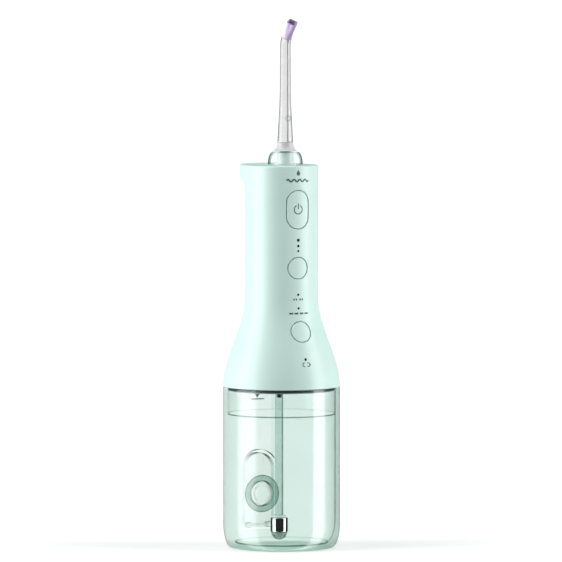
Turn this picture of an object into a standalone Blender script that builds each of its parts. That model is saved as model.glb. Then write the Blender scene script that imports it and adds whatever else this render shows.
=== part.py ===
"""A cordless water flosser: clear tank, flared pump handle, turning collar and a bent jet nozzle.

Every size below is in millimetres, and new_object() turns the finished meshes into metres.
The origin is the centre of the tank's base, +Z points up and the buttons face -Y.
"""

import math

import bmesh
import bpy
from mathutils import Matrix, Vector

MM = 0.001
GAP = 0.3  # between neighbouring pieces
RUNNING = 0.07  # radial clearance of a shaft in its bearing

# Tank
TANK_R = 35.0
TANK_TOP = 96.2
TANK_WALL = 2.7
TANK_FLOOR = 3.3
BASE_R = 30.0
CORNER_H = 14.0

# Fill door in the rear of the tank
DOOR_HALF_WIDTH = 9.9
DOOR_LOW = 7.3
DOOR_TOP = 54.2
POCKET_Y = 29.0
POCKET_WALL = 2.0
PORT_Z = 29.8
PORT_R = 7.4
PORT_RING_R = 11.2
PORT_RING_Y = 24.0
HINGE_Y = 32.4
HINGE_Z = 10.6
HINGE_R = 1.4
HINGE_PIN_R = 0.7
KNUCKLE_HALF = 5.0
EAR_WIDTH = 2.7
PORT_RIB_HALF = 4.0
FINGER_DIP_R = 5.0
FINGER_DIP_RISE = 5.5

# Handle
HANDLE_LOW = TANK_TOP + GAP
HANDLE_TOP = 228.8
NECK_R = 21.9
FLARE_LOW = 96.0
FLARE_TOP = 150.0
LIP_LOW = 213.6
LIP_RISE = 6.0
LIP_REACH = 35.0
EDGE_R = 1.0
HANDLE_WALL = 2.2
TOP_WALL = 2.5
HANDLE_STEPS = 40
FLARE_STEPS = 9

# Underside cover, its seal ring and the hose
COVER_LOW = 97.3
COVER_TOP = 99.2
SPIGOT_R = 31.9
SPIGOT_LOW = 94.0
SEAL_Z = 95.3
SEAL_R = 31.6
SEAL_WIRE_R = 0.5
HOSE_Y = 3.2
HOSE_R = 2.4
HOSE_BORE_R = 1.6
HOSE_TOP = 94.6
WEIGHT_R = 5.2
WEIGHT_LOW = 8.8
WEIGHT_TOP = 17.2
STRAINER_LOW = 4.0
NIPPLE_R = 1.0
NIPPLE_BORE_R = 0.7
HOSE_FLANGE_R = 5.5
DRAIN_SLOT_LOW = 6.2
DRAIN_SLOT_TOP = 7.4

# Buttons and lenses on the front, by height
BUTTON_TRAVEL = 0.8
BUTTON_GAP = 0.35
BUTTON_THICK = 2.6
FRONT_REACH = 3.0  # how far cutting tools run past the surface
POWER_Z = 202.9
POWER_WIDTH = 14.1
POWER_HEIGHT = 22.6
INTENSITY_Z = 168.1
INTENSITY_R = 6.25
MODE_Z = 130.5
MODE_R = 6.2
STEM_R = 1.2
INTENSITY_LENSES = ((184.8, 0.95), (181.3, 0.8), (178.3, 0.65))
MODE_LENSES = ((152.3, 0.7), (144.2, 0.7))
BATTERY_LENS = (114.3, 0.8)
LENS_LENGTH = 3.2

# Charging port in the rear of the neck
CHARGE_Z = 160.0
CHARGE_WIDTH = 13.0
CHARGE_HEIGHT = 7.0
CHARGE_COVER_THICK = 1.5

# Circuit board, cell and motor
BOARD_Y = -15.6
BOARD_THICK = 1.6
BOARD_HALF_WIDTH = 10.0
BOARD_LOW = 122.0
BOARD_TOP = 214.0
SWITCH_DEPTH = 1.5
PLUNGER_DEPTH = 0.6
CELL_R = 9.15
CELL_Y = 5.0
CELL_LOW = 146.0
CELL_LENGTH = 50.0
MOTOR_R = 10.2
MOTOR_LOW = 119.0
MOTOR_LENGTH = 25.0

# Pump: a gear turns an eccentric, which drives the piston along +X
GEAR_MODULE = 0.6
GEAR_TEETH = 36
PINION_TEETH = 10
GEAR_X = -15.0
GEAR_Y = 7.0
GEAR_LOW = 113.4
GEAR_TOP = 116.2
MESH_ANGLE = math.radians(-17.0)
CENTRE_DISTANCE = GEAR_MODULE * (GEAR_TEETH + PINION_TEETH) / 2 + 0.1
ECCENTRIC_R = 4.0
CRANK = 2.0
SHAFT_R = 1.2
PUMP_Z = 109.8
ROD_HALF = 1.2
YOKE_BORE_R = ECCENTRIC_R + math.hypot(CRANK, CRANK) + 0.15
YOKE_R = YOKE_BORE_R + 1.6
WRIST_X = 1.0
WRIST_R = 0.9
SMALL_END_R = 2.6
SHANK_HALF = 1.5
PISTON_R = 3.2
PISTON_LOW_X = -2.5
PISTON_TOP_X = 10.0
BARREL_BORE_R = 3.65
BARREL_R = 4.4
BARREL_LOW_X = 2.2
BARREL_TOP_X = 15.0
HEAD_LOW_X = BARREL_TOP_X + GAP
HEAD_TOP_X = 24.0
HEAD_HALF_WIDTH = 5.0
HEAD_LOW = 105.6
HEAD_TOP = 116.4
VALVE_X = 19.6
INLET_SEAT = HEAD_LOW + 1.2
OUTLET_SEAT = PUMP_Z + 1.8
VALVE_R = 1.9
VALVE_LIFT = 0.8
CHAMBER_R = 2.3
PASSAGE_R = 1.2
BRACKET_LOW = 103.4
BRACKET_TOP = 105.2
BRACKET_R = 31.0
UPPER_LOW = 117.0
UPPER_TOP = 118.6
UPPER_R = 27.2
NOTCH_Y = 20.0
POSTS = ((-8.0, -19.0), (13.0, -17.0), (6.0, 20.0))
POST_R = 2.2
SCREW_R = 1.0
SCREW_HEAD_R = 2.2
INLET_Z = 101.3
INLET_TUBE_R = 1.5
OUTLET_TUBE_R = 1.75
OUTLET_X = 13.5
OUTLET_Y = 4.0

# Collar and nozzle
NOZZLE_Y = -4.8
SOCKET_LOW = 210.0
SOCKET_TOP = 221.6
SOCKET_R = 7.0
SOCKET_BORE_R = 3.3
OUTLET_PORT_Z = 216.5
HUB_LOW = 222.0
HUB_FLANGE_TOP = 225.9
HUB_FLANGE_R = 8.4
HUB_NECK_R = 6.6
HUB_R = 5.0
HUB_BORE_R = 3.4
HUB_TOP = 236.3
COLLAR_LOW = HANDLE_TOP + 0.5
COLLAR_TOP = 236.6
COLLAR_R = 10.45
COLLAR_TOP_R = 8.1
COLLAR_WALL = 1.4
STEM_LOW = 214.5
NOZZLE_STEM_R = 3.0
NOZZLE_BORE_R = 1.2
INSERT_LOW = COLLAR_TOP + GAP
INSERT_TOP = 242.3
INSERT_LOW_R = 8.0
INSERT_TOP_R = 4.8
TUBE_LOW = INSERT_TOP + GAP
TUBE_LOW_R = 4.8
TUBE_TOP_R = 3.15
TUBE_NECK_Z = 270.0
BEND_Z = 299.0
BEND_R = 9.0
BEND_ANGLE = math.radians(38.0)
TIP_LENGTH = 11.6
TIP_LOW_R = 2.75
TIP_TOP_R = 3.1
TIP_LOBES = 4


# ---------------------------------------------------------------- materials and objects


def material(name, colour, roughness, metallic=0.0, alpha=1.0):
    """A Principled material; glassy pieces pass an alpha under 1."""
    made = bpy.data.materials.new(name)
    made.use_nodes = True
    shader = made.node_tree.nodes["Principled BSDF"]
    shader.inputs["Base Color"].default_value = (*colour, 1.0)
    shader.inputs["Roughness"].default_value = roughness
    shader.inputs["Metallic"].default_value = metallic
    shader.inputs["Alpha"].default_value = alpha
    return made


def new_object(name, bm):
    """Close the bmesh into an object of metres, with its faces pointing out."""
    bmesh.ops.remove_doubles(bm, verts=bm.verts, dist=1e-4)
    bmesh.ops.recalc_face_normals(bm, faces=bm.faces)
    bm.transform(Matrix.Scale(MM, 4))
    mesh = bpy.data.meshes.new(name)
    bm.to_mesh(mesh)
    bm.free()
    made = bpy.data.objects.new(name, mesh)
    bpy.context.scene.collection.objects.link(made)
    return made


def boolean(target, tool, operation):
    """Apply an exact Boolean to the target and drop the tool."""
    modifier = target.modifiers.new("boolean", "BOOLEAN")
    modifier.object = tool
    modifier.operation = operation
    evaluated = target.evaluated_get(bpy.context.evaluated_depsgraph_get())
    mesh = bpy.data.meshes.new_from_object(evaluated)
    target.modifiers.clear()
    target.data = mesh
    bpy.data.objects.remove(tool)


def cut(target, bm):
    boolean(target, new_object("cutter", bm), "DIFFERENCE")


def join(target, bm):
    boolean(target, new_object("addition", bm), "UNION")


def keep_inside(target, bm):
    boolean(target, new_object("limit", bm), "INTERSECT")


def finish_object(made, finish, angle=35.0):
    """Give the finished mesh its one material and smooth shading with sharp edges."""
    made.data.name = made.name
    made.data.materials.clear()
    made.data.materials.append(finish)
    made.data.shade_smooth()
    made.data.set_sharp_from_angle(angle=math.radians(angle))
    return made


def pivot(name, location, pieces):
    """An empty on a joint's axis that carries the pieces of one moving body."""
    empty = bpy.data.objects.new(name, None)
    empty.empty_display_size = 5 * MM
    empty.location = Vector(location) * MM
    bpy.context.scene.collection.objects.link(empty)
    bpy.context.view_layer.update()
    for piece in pieces:
        piece.parent = empty
        piece.matrix_parent_inverse = empty.matrix_world.inverted()
    return empty


# ---------------------------------------------------------------- mesh builders


def moved(bm, offset):
    bmesh.ops.translate(bm, verts=bm.verts, vec=Vector(offset))
    return bm


def lay_along_x(bm):
    """Turn a piece built along +Z so that it runs along +X."""
    bm.transform(Matrix.Rotation(math.radians(90.0), 4, "Y"))
    return bm


def lay_along_y(bm):
    """Turn a piece built along +Z so that it runs along +Y, with its own +Y side up."""
    bm.transform(Matrix.Rotation(math.radians(90.0), 4, "X"))
    bm.transform(Matrix.Scale(-1.0, 4, (0.0, 1.0, 0.0)))
    return bm


def turned(profile, steps=32):
    """Spin a closed outline of (radius, z) points about the Z axis."""
    bm = bmesh.new()
    corners = [bm.verts.new((radius, 0.0, z)) for radius, z in profile]
    pairs = zip(corners, corners[1:] + corners[:1])
    edges = [bm.edges.new((a, b)) for a, b in pairs if max(a.co.x, b.co.x) > 0.0]
    bmesh.ops.spin(
        bm,
        geom=corners + edges,
        axis=(0.0, 0.0, 1.0),
        cent=(0.0, 0.0, 0.0),
        steps=steps,
        angle=2.0 * math.pi,
        use_merge=True,
    )
    bmesh.ops.remove_doubles(bm, verts=bm.verts, dist=1e-4)
    return bm


def prism(outline, low, high):
    """Extrude a closed XY outline from one height to another."""
    bm = bmesh.new()
    face = bm.faces.new([bm.verts.new((x, y, low)) for x, y in outline])
    extruded = bmesh.ops.extrude_face_region(bm, geom=[face])
    top = [item for item in extruded["geom"] if isinstance(item, bmesh.types.BMVert)]
    bmesh.ops.translate(bm, verts=top, vec=(0.0, 0.0, high - low))
    return bm


def loft(rings):
    """Skin closed rings of equal length, with a flat cap on the first and the last."""
    bm = bmesh.new()
    rows = [[bm.verts.new(point) for point in ring] for ring in rings]
    count = len(rows[0])
    for lower, upper in zip(rows, rows[1:]):
        for i in range(count):
            j = (i + 1) % count
            bm.faces.new((lower[i], lower[j], upper[j], upper[i]))
    bm.faces.new(rows[0])
    bm.faces.new(rows[-1])
    return bm


def sweep_rings(path, radius_at, steps, lobe_at=None):
    """Circles square to the path, one at each of its points, carried along without twist."""
    rings = []
    side = Vector((1.0, 0.0, 0.0))
    for index, centre in enumerate(path):
        before = path[max(index - 1, 0)]
        after = path[min(index + 1, len(path) - 1)]
        along = (after - before).normalized()
        side = (side - along * side.dot(along)).normalized()
        across = along.cross(side)
        fraction = index / (len(path) - 1)
        ring = []
        for step in range(steps):
            angle = 2.0 * math.pi * step / steps
            lobe = lobe_at(fraction) * math.cos(TIP_LOBES * angle) if lobe_at else 0.0
            radius = radius_at(fraction) * (1.0 + lobe)
            ring.append(centre + (side * math.cos(angle) + across * math.sin(angle)) * radius)
        rings.append(ring)
    return rings


def tube(path, outer_at, inner_at, steps=20, lobe_at=None):
    """A pipe along the path: the outer skin, the bore and the two end rings."""
    outer = sweep_rings(path, outer_at, steps, lobe_at)
    inner = sweep_rings(path, inner_at, steps, lobe_at)
    bm = bmesh.new()
    loop = [[bm.verts.new(point) for point in ring] for ring in outer + inner[::-1]]
    for lower, upper in zip(loop, loop[1:] + loop[:1]):
        for i in range(steps):
            j = (i + 1) % steps
            bm.faces.new((lower[i], lower[j], upper[j], upper[i]))
    return bm


def circle(radius, steps=24, centre=(0.0, 0.0)):
    turn = 2.0 * math.pi / steps
    return [
        (centre[0] + radius * math.cos(turn * i), centre[1] + radius * math.sin(turn * i))
        for i in range(steps)
    ]


def obround(width, height, steps=12):
    """A rounded slot outline about the origin, longer along its second axis or its first."""
    radius = min(width, height) / 2.0
    reach_x = width / 2.0 - radius
    reach_y = height / 2.0 - radius
    points = []
    for quarter, (sign_x, sign_y) in enumerate(((1, 1), (-1, 1), (-1, -1), (1, -1))):
        for step in range(steps // 2 + 1):
            angle = math.pi / 2.0 * (quarter + step / (steps // 2))
            point = (
                sign_x * reach_x + radius * math.cos(angle),
                sign_y * reach_y + radius * math.sin(angle),
            )
            if not points or math.dist(point, points[-1]) > 1e-6:
                points.append(point)
    if math.dist(points[0], points[-1]) < 1e-6:
        points.pop()
    return points


def box(x_low, x_high, y_low, y_high, z_low, z_high):
    outline = [(x_low, y_low), (x_high, y_low), (x_high, y_high), (x_low, y_high)]
    return prism(outline, z_low, z_high)


def rod(radius, low, high, x=0.0, y=0.0, steps=24):
    return prism(circle(radius, steps, (x, y)), low, high)


def torus(radius, wire, z, steps=40, wire_steps=10):
    turn = 2.0 * math.pi / wire_steps
    profile = [
        (radius + wire * math.cos(turn * i), z + wire * math.sin(turn * i))
        for i in range(wire_steps)
    ]
    return turned(profile, steps)


def gear_outline(teeth, phase):
    """Straight-sided teeth, thin enough to turn freely with their mate."""
    pitch_radius = GEAR_MODULE * teeth / 2.0
    tip = pitch_radius + 0.8 * GEAR_MODULE
    root = pitch_radius - 1.1 * GEAR_MODULE
    spacing = 2.0 * math.pi / teeth
    points = []
    for tooth in range(teeth):
        middle = phase + tooth * spacing
        for radius, share in ((root, -0.28), (tip, -0.1), (tip, 0.1), (root, 0.28)):
            angle = middle + share * spacing
            points.append((radius * math.cos(angle), radius * math.sin(angle)))
    return points


def curve_points(start, corner, end, steps=7):
    """A quadratic bend from start to end that leaves and arrives towards the corner."""
    start, corner, end = Vector(start), Vector(corner), Vector(end)
    points = []
    for step in range(steps + 1):
        t = step / steps
        points.append(start * (1 - t) ** 2 + corner * (2 * t * (1 - t)) + end * t**2)
    return points


# ---------------------------------------------------------------- tank


def tank_solid(inset=0.0):
    """The tank's outer form, or one pulled in by the inset."""
    profile = [(0.0, 0.0), (BASE_R - inset, 0.0)]
    for step in range(1, 7):
        angle = math.pi / 2.0 * step / 6
        radius = BASE_R + (TANK_R - BASE_R) * math.sin(angle) - inset
        profile.append((radius, CORNER_H * (1.0 - math.cos(angle))))
    profile += [(TANK_R - inset, TANK_TOP), (0.0, TANK_TOP)]
    return turned(profile, HANDLE_STEPS)


def tank_cavity():
    top_radius = TANK_R - TANK_WALL
    floor_radius = BASE_R - TANK_WALL
    profile = [(0.0, TANK_FLOOR), (floor_radius, TANK_FLOOR)]
    for step in range(1, 6):
        angle = math.pi / 2.0 * step / 5
        radius = floor_radius + (top_radius - floor_radius) * math.sin(angle)
        profile.append((radius, TANK_FLOOR + CORNER_H * (1.0 - math.cos(angle))))
    profile += [(top_radius, TANK_TOP + 1.0), (0.0, TANK_TOP + 1.0)]
    return turned(profile, HANDLE_STEPS)


def door_outline(inset, low=DOOR_LOW):
    """Flat-footed arch, as (x, z) points."""
    half = DOOR_HALF_WIDTH - inset
    centre_z = DOOR_TOP - DOOR_HALF_WIDTH
    points = [(-half, low + inset), (half, low + inset)]
    for step in range(15):
        angle = math.pi * step / 14
        points.append((half * math.cos(angle), centre_z + half * math.sin(angle)))
    return points


def door_prism(inset, y_low, y_high, low=DOOR_LOW):
    return lay_along_y(prism(door_outline(inset, low), y_low, y_high))


def along_x(radius, half_length, y, z, steps=20):
    bm = lay_along_x(prism(circle(radius, steps), -half_length, half_length))
    return moved(bm, (0.0, y, z))


def reservoir_shell(finish):
    cavity = new_object("cavity", tank_cavity())
    cut(cavity, door_prism(-POCKET_WALL, POCKET_Y - POCKET_WALL, TANK_R + 5.0, low=1.0))
    port_ring = lay_along_y(prism(circle(PORT_RING_R, 32), PORT_RING_Y, POCKET_Y))
    cut(cavity, moved(port_ring, (0.0, 0.0, PORT_Z)))
    rib_top = PORT_Z - PORT_R - 2.0
    cut(cavity, box(-PORT_RIB_HALF, PORT_RIB_HALF, PORT_RING_Y + 1.0, POCKET_Y, 1.0, rib_top))
    shell = new_object("reservoir_shell", tank_solid())
    boolean(shell, cavity, "DIFFERENCE")
    cut(shell, door_prism(0.0, POCKET_Y, TANK_R + 5.0))
    port = lay_along_y(prism(circle(PORT_R, 32), PORT_RING_Y - 3.0, POCKET_Y + 1.0))
    cut(shell, moved(port, (0.0, 0.0, PORT_Z)))
    ear_start = KNUCKLE_HALF + GAP
    for side in (-1.0, 1.0):
        middle = side * (ear_start + EAR_WIDTH / 2.0)
        ear = along_x(HINGE_R + 0.1, EAR_WIDTH / 2.0, HINGE_Y, HINGE_Z)
        join(shell, moved(ear, (middle, 0.0, 0.0)))
        x_low, x_high = middle - EAR_WIDTH / 2.0, middle + EAR_WIDTH / 2.0
        foot = (POCKET_Y - 0.5, HINGE_Y, HINGE_Z - HINGE_R, HINGE_Z + HINGE_R)
        join(shell, box(x_low, x_high, *foot))
    cut(shell, along_x(HINGE_PIN_R + 0.1, ear_start + EAR_WIDTH + 1.0, HINGE_Y, HINGE_Z))
    return finish_object(shell, finish)


def fill_door(finish):
    door = new_object("fill_door", tank_solid(0.1))
    keep_inside(door, door_prism(BUTTON_GAP, POCKET_Y + 0.6, TANK_R + 5.0))
    wide = DOOR_HALF_WIDTH + 1.0
    cut(door, box(-wide, wide, POCKET_Y - 1.0, TANK_R + 5.0, 0.0, HINGE_Z))
    ear_start = KNUCKLE_HALF + 0.02
    ear_end = KNUCKLE_HALF + 2 * GAP + EAR_WIDTH
    for low, high in ((-ear_end, -ear_start), (ear_start, ear_end)):
        ear_room = HINGE_Z + HINGE_R + 2 * GAP
        cut(door, box(low, high, POCKET_Y - 1.0, TANK_R + 5.0, 0.0, ear_room))
    join(door, along_x(HINGE_R, KNUCKLE_HALF, HINGE_Y, HINGE_Z))
    cut(door, along_x(HINGE_PIN_R + 0.1, KNUCKLE_HALF + 1.0, HINGE_Y, HINGE_Z))
    dip_y = TANK_R + FINGER_DIP_R - 1.4
    finger_dip = along_x(FINGER_DIP_R, FINGER_DIP_R, dip_y, DOOR_TOP - FINGER_DIP_RISE)
    cut(door, finger_dip)
    return finish_object(door, finish)


def door_plug(finish):
    """A soft cup on the inside of the door that fills the port."""
    root_y = POCKET_Y + GAP
    tip_y = PORT_RING_Y + 0.6
    profile = [
        (0.0, -root_y),
        (PORT_R - 0.4, -root_y),
        (PORT_R - 0.45, -(root_y - 1.2)),
        (PORT_R - 0.95, -tip_y),
        (PORT_R - 2.3, -tip_y),
        (PORT_R - 2.3, -(root_y - 1.6)),
        (0.0, -(root_y - 1.6)),
    ]
    bm = turned(profile, 32)
    bm.transform(Matrix.Rotation(math.radians(90.0), 4, "X"))
    made = new_object("door_plug", moved(bm, (0.0, 0.0, PORT_Z)))
    return finish_object(made, finish)


def door_hinge_pin(finish):
    half = KNUCKLE_HALF + GAP + EAR_WIDTH - 0.1
    made = new_object("door_hinge_pin", along_x(HINGE_PIN_R, half, HINGE_Y, HINGE_Z))
    return finish_object(made, finish)


# ---------------------------------------------------------------- handle shell and its pads


def flare_radius(z):
    """The handle's radius: the tank's at the joint, easing to the neck's."""
    t = min(max((z - FLARE_LOW) / (FLARE_TOP - FLARE_LOW), 0.0), 1.0)
    return TANK_R - (TANK_R - NECK_R) * t * t * (3.0 - 2.0 * t)


def flare_heights(low, high, steps):
    return [low + (high - low) * step / steps for step in range(steps + 1)]


def handle_ring(half_width, rear_reach, z):
    """A circle in front and half an ellipse behind."""
    ring = []
    for step in range(HANDLE_STEPS):
        angle = 2.0 * math.pi * step / HANDLE_STEPS
        reach = rear_reach if math.sin(angle) > 0.0 else half_width
        ring.append((half_width * math.cos(angle), reach * math.sin(angle), z))
    return ring


def handle_solid():
    rings = []
    for z in flare_heights(HANDLE_LOW, FLARE_TOP, FLARE_STEPS):
        rings.append(handle_ring(flare_radius(z), flare_radius(z), z))
    for step in range(5):
        angle = math.pi / 2.0 * step / 4
        reach = NECK_R + (LIP_REACH - NECK_R) * (1.0 - math.cos(angle))
        rings.append(handle_ring(NECK_R, reach, LIP_LOW + LIP_RISE * math.sin(angle)))
    for step in range(3):
        angle = math.pi / 2.0 * step / 2
        inset = EDGE_R * (1.0 - math.cos(angle))
        z = HANDLE_TOP - EDGE_R * (1.0 - math.sin(angle))
        rings.append(handle_ring(NECK_R - inset, LIP_REACH - inset, z))
    return loft(rings)


def handle_cavity():
    heights = flare_heights(HANDLE_LOW, FLARE_TOP, FLARE_STEPS)
    profile = [(0.0, HANDLE_LOW - 1.0), (flare_radius(HANDLE_LOW) - HANDLE_WALL, HANDLE_LOW - 1.0)]
    profile += [(flare_radius(z) - HANDLE_WALL, z) for z in heights]
    profile += [(NECK_R - HANDLE_WALL, HANDLE_TOP - TOP_WALL), (0.0, HANDLE_TOP - TOP_WALL)]
    return turned(profile, HANDLE_STEPS)


def handle_skin(low, high, thickness):
    """A sleeve of the handle's own surface, which the flush pads are cut from."""
    heights = flare_heights(low, high, 4)
    outside = [(flare_radius(z), z) for z in heights]
    inside = [(flare_radius(z) - thickness, z) for z in reversed(heights)]
    return turned(outside + inside, HANDLE_STEPS)


def mode_frame():
    """The mode pad's place on the sloping flare: +Z of the frame is the way it is pressed."""
    rise = 1.0
    slope = (flare_radius(MODE_Z - rise) - flare_radius(MODE_Z + rise)) / (2.0 * rise)
    tilt = math.atan(slope)
    place = Matrix.Translation((0.0, -flare_radius(MODE_Z), MODE_Z))
    return place @ Matrix.Rotation(-(math.pi / 2.0 + tilt), 4, "X"), tilt


def front_prism(outline, z, y_low, y_high):
    return moved(lay_along_y(prism(outline, y_low, y_high)), (0.0, 0.0, z))


def power_outline(grow=0.0):
    return obround(POWER_WIDTH + 2 * grow, POWER_HEIGHT + 2 * grow)


def mode_cylinder(radius, low, high):
    bm = prism(circle(radius, 28), low, high)
    bm.transform(mode_frame()[0])
    return bm


def handle_shell(finish):
    shell = new_object("handle_shell", handle_solid())
    cut(shell, handle_cavity())
    front, back = -NECK_R - FRONT_REACH, -NECK_R + HANDLE_WALL + FRONT_REACH
    cut(shell, front_prism(power_outline(BUTTON_GAP), POWER_Z, front, back))
    intensity = circle(INTENSITY_R + BUTTON_GAP, 28)
    cut(shell, front_prism(intensity, INTENSITY_Z, front, back))
    cut(shell, mode_cylinder(MODE_R + BUTTON_GAP, -4.0, 6.0))
    for z, radius in INTENSITY_LENSES + MODE_LENSES + (BATTERY_LENS,):
        surface = -flare_radius(z)
        cut(shell, front_prism(circle(radius + 0.1, 12), z, surface - 2.0, surface + 5.0))
    port = obround(CHARGE_WIDTH, CHARGE_HEIGHT)
    cut(shell, front_prism(port, CHARGE_Z, NECK_R - HANDLE_WALL - 2.0, NECK_R + 3.0))
    hub_hole_r = HUB_NECK_R + 0.4
    cut(shell, rod(hub_hole_r, HANDLE_TOP - 5.0, HANDLE_TOP + 1.0, y=NOZZLE_Y, steps=32))
    return finish_object(shell, finish)


def stem_end():
    """Where a straight button's stem stops, so that full travel just reaches the switch."""
    return BOARD_Y - SWITCH_DEPTH - PLUNGER_DEPTH - BUTTON_TRAVEL - 0.1


def straight_button(name, z, outline, half_height, finish):
    margin = half_height + 2.0
    button = new_object(name, handle_skin(z - margin, z + margin, BUTTON_THICK))
    front, back = -NECK_R - FRONT_REACH, -NECK_R + BUTTON_THICK + 4.0
    keep_inside(button, front_prism(outline, z, front, back))
    stem = front_prism(circle(STEM_R, 16), z, -NECK_R + BUTTON_THICK - 1.0, stem_end())
    join(button, stem)
    return finish_object(button, finish)


def mode_button(finish):
    margin = MODE_R + 3.0
    skin = handle_skin(MODE_Z - margin, MODE_Z + margin, BUTTON_THICK)
    button = new_object("mode_button", skin)
    keep_inside(button, mode_cylinder(MODE_R, -4.0, 7.0))
    tilt = mode_frame()[1]
    stem_length = (flare_radius(MODE_Z) + stem_end() - STEM_R * math.sin(tilt)) / math.cos(tilt)
    join(button, mode_cylinder(STEM_R, BUTTON_THICK - 1.0, stem_length))
    return finish_object(button, finish)


def lens(name, z, radius, finish):
    surface = -flare_radius(z)
    bm = front_prism(circle(radius, 12), z, surface - 0.05, surface + LENS_LENGTH)
    return finish_object(new_object(name, bm), finish)


def port_cover(finish):
    margin = CHARGE_HEIGHT / 2.0 + 1.0
    skin = handle_skin(CHARGE_Z - margin, CHARGE_Z + margin, CHARGE_COVER_THICK)
    cover = new_object("port_cover", skin)
    outline = obround(CHARGE_WIDTH - 2 * GAP, CHARGE_HEIGHT - 2 * GAP)
    keep_inside(cover, front_prism(outline, CHARGE_Z, NECK_R - 5.0, NECK_R + 3.0))
    return finish_object(cover, finish)


def charging_socket(finish):
    back = CELL_Y + CELL_R + 0.6
    mouth_y = NECK_R - CHARGE_COVER_THICK - 1.0
    body = front_prism(obround(9.0, 3.4), CHARGE_Z, back, mouth_y)
    socket = new_object("charging_socket", body)
    mouth = front_prism(obround(8.2, 2.6), CHARGE_Z, back + 1.0, mouth_y + 1.0)
    cut(socket, mouth)
    return finish_object(socket, finish)


# ---------------------------------------------------------------- underside cover and hose


def handle_base(finish):
    flange_r = TANK_R - HANDLE_WALL - 0.45
    spigot_bore = SPIGOT_R - 2.5
    groove_r = SEAL_R - SEAL_WIRE_R - GAP
    groove_half = SEAL_WIRE_R + GAP
    profile = [
        (0.0, COVER_LOW),
        (spigot_bore, COVER_LOW),
        (spigot_bore, SPIGOT_LOW),
        (SPIGOT_R, SPIGOT_LOW),
        (SPIGOT_R, SEAL_Z - groove_half),
        (groove_r, SEAL_Z - groove_half),
        (groove_r, SEAL_Z + groove_half),
        (SPIGOT_R, SEAL_Z + groove_half),
        (SPIGOT_R, COVER_LOW - 0.2),
        (flange_r, COVER_LOW - 0.2),
        (flange_r, COVER_TOP),
        (0.0, COVER_TOP),
    ]
    base = new_object("handle_base", turned(profile, HANDLE_STEPS))
    cut(base, rod(2.0, COVER_LOW - 1.0, COVER_TOP + 1.0, y=HOSE_Y))
    for x, y in POSTS:
        cut(base, rod(SCREW_R + 0.2, COVER_LOW - 1.0, COVER_TOP + 1.0, x, y, 16))
    return finish_object(base, finish)


def base_screw(name, x, y, finish):
    head_top = COVER_LOW - GAP
    profile = [
        (0.0, head_top - 1.5),
        (SCREW_HEAD_R * 0.8, head_top - 1.5),
        (SCREW_HEAD_R, head_top - 1.0),
        (SCREW_HEAD_R, head_top),
        (SCREW_R, head_top),
        (SCREW_R, head_top + 11.5),
        (0.0, head_top + 12.2),
    ]
    screw = new_object(name, moved(turned(profile, 16), (x, y, 0.0)))
    slot = box(x - 0.3, x + 0.3, y - 1.4, y + 1.4, head_top - 2.0, head_top - 0.8)
    cut(screw, slot)
    return finish_object(screw, finish)


def tank_seal_ring(finish):
    made = new_object("tank_seal_ring", torus(SEAL_R, SEAL_WIRE_R, SEAL_Z, HANDLE_STEPS, 6))
    return finish_object(made, finish)


def hose_connector(finish):
    """A flanged post with a drilled bore and a short nipple inside the hose."""
    flange_low, flange_top = HOSE_TOP + 0.6, COVER_LOW - 0.4
    profile = [
        (NIPPLE_BORE_R, HOSE_TOP - 1.4),
        (NIPPLE_R, HOSE_TOP - 1.4),
        (NIPPLE_R, flange_low),
        (HOSE_FLANGE_R, flange_low),
        (HOSE_FLANGE_R, flange_top),
        (NIPPLE_BORE_R + NIPPLE_R, flange_top),
        (NIPPLE_BORE_R + NIPPLE_R, INLET_Z + 1.6),
        (NIPPLE_BORE_R, INLET_Z + 1.6),
    ]
    connector = new_object("hose_connector", moved(turned(profile, 24), (0.0, HOSE_Y, 0.0)))
    return finish_object(connector, finish)


def suction_hose(finish):
    low = WEIGHT_TOP + 1.9
    path = [Vector((0.0, HOSE_Y, z)) for z in (low, HOSE_TOP)]
    bm = tube(path, lambda f: HOSE_R, lambda f: HOSE_BORE_R, 20)
    return finish_object(new_object("suction_hose", bm), finish)


def weight_cap(finish):
    low = WEIGHT_TOP + GAP
    profile = [
        (HOSE_BORE_R, low),
        (WEIGHT_R - 0.6, low),
        (WEIGHT_R - 1.0, low + 0.9),
        (WEIGHT_R - 2.2, low + 1.3),
        (HOSE_BORE_R, low + 1.3),
    ]
    made = new_object("weight_cap", moved(turned(profile, 24), (0.0, HOSE_Y, 0.0)))
    return finish_object(made, finish)


def hose_weight(finish):
    edge = 0.5
    profile = [
        (HOSE_BORE_R, WEIGHT_LOW),
        (WEIGHT_R - edge, WEIGHT_LOW),
        (WEIGHT_R, WEIGHT_LOW + edge),
        (WEIGHT_R, WEIGHT_TOP - edge),
        (WEIGHT_R - edge, WEIGHT_TOP),
        (HOSE_BORE_R, WEIGHT_TOP),
    ]
    made = new_object("hose_weight", moved(turned(profile, 32), (0.0, HOSE_Y, 0.0)))
    return finish_object(made, finish)


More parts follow.
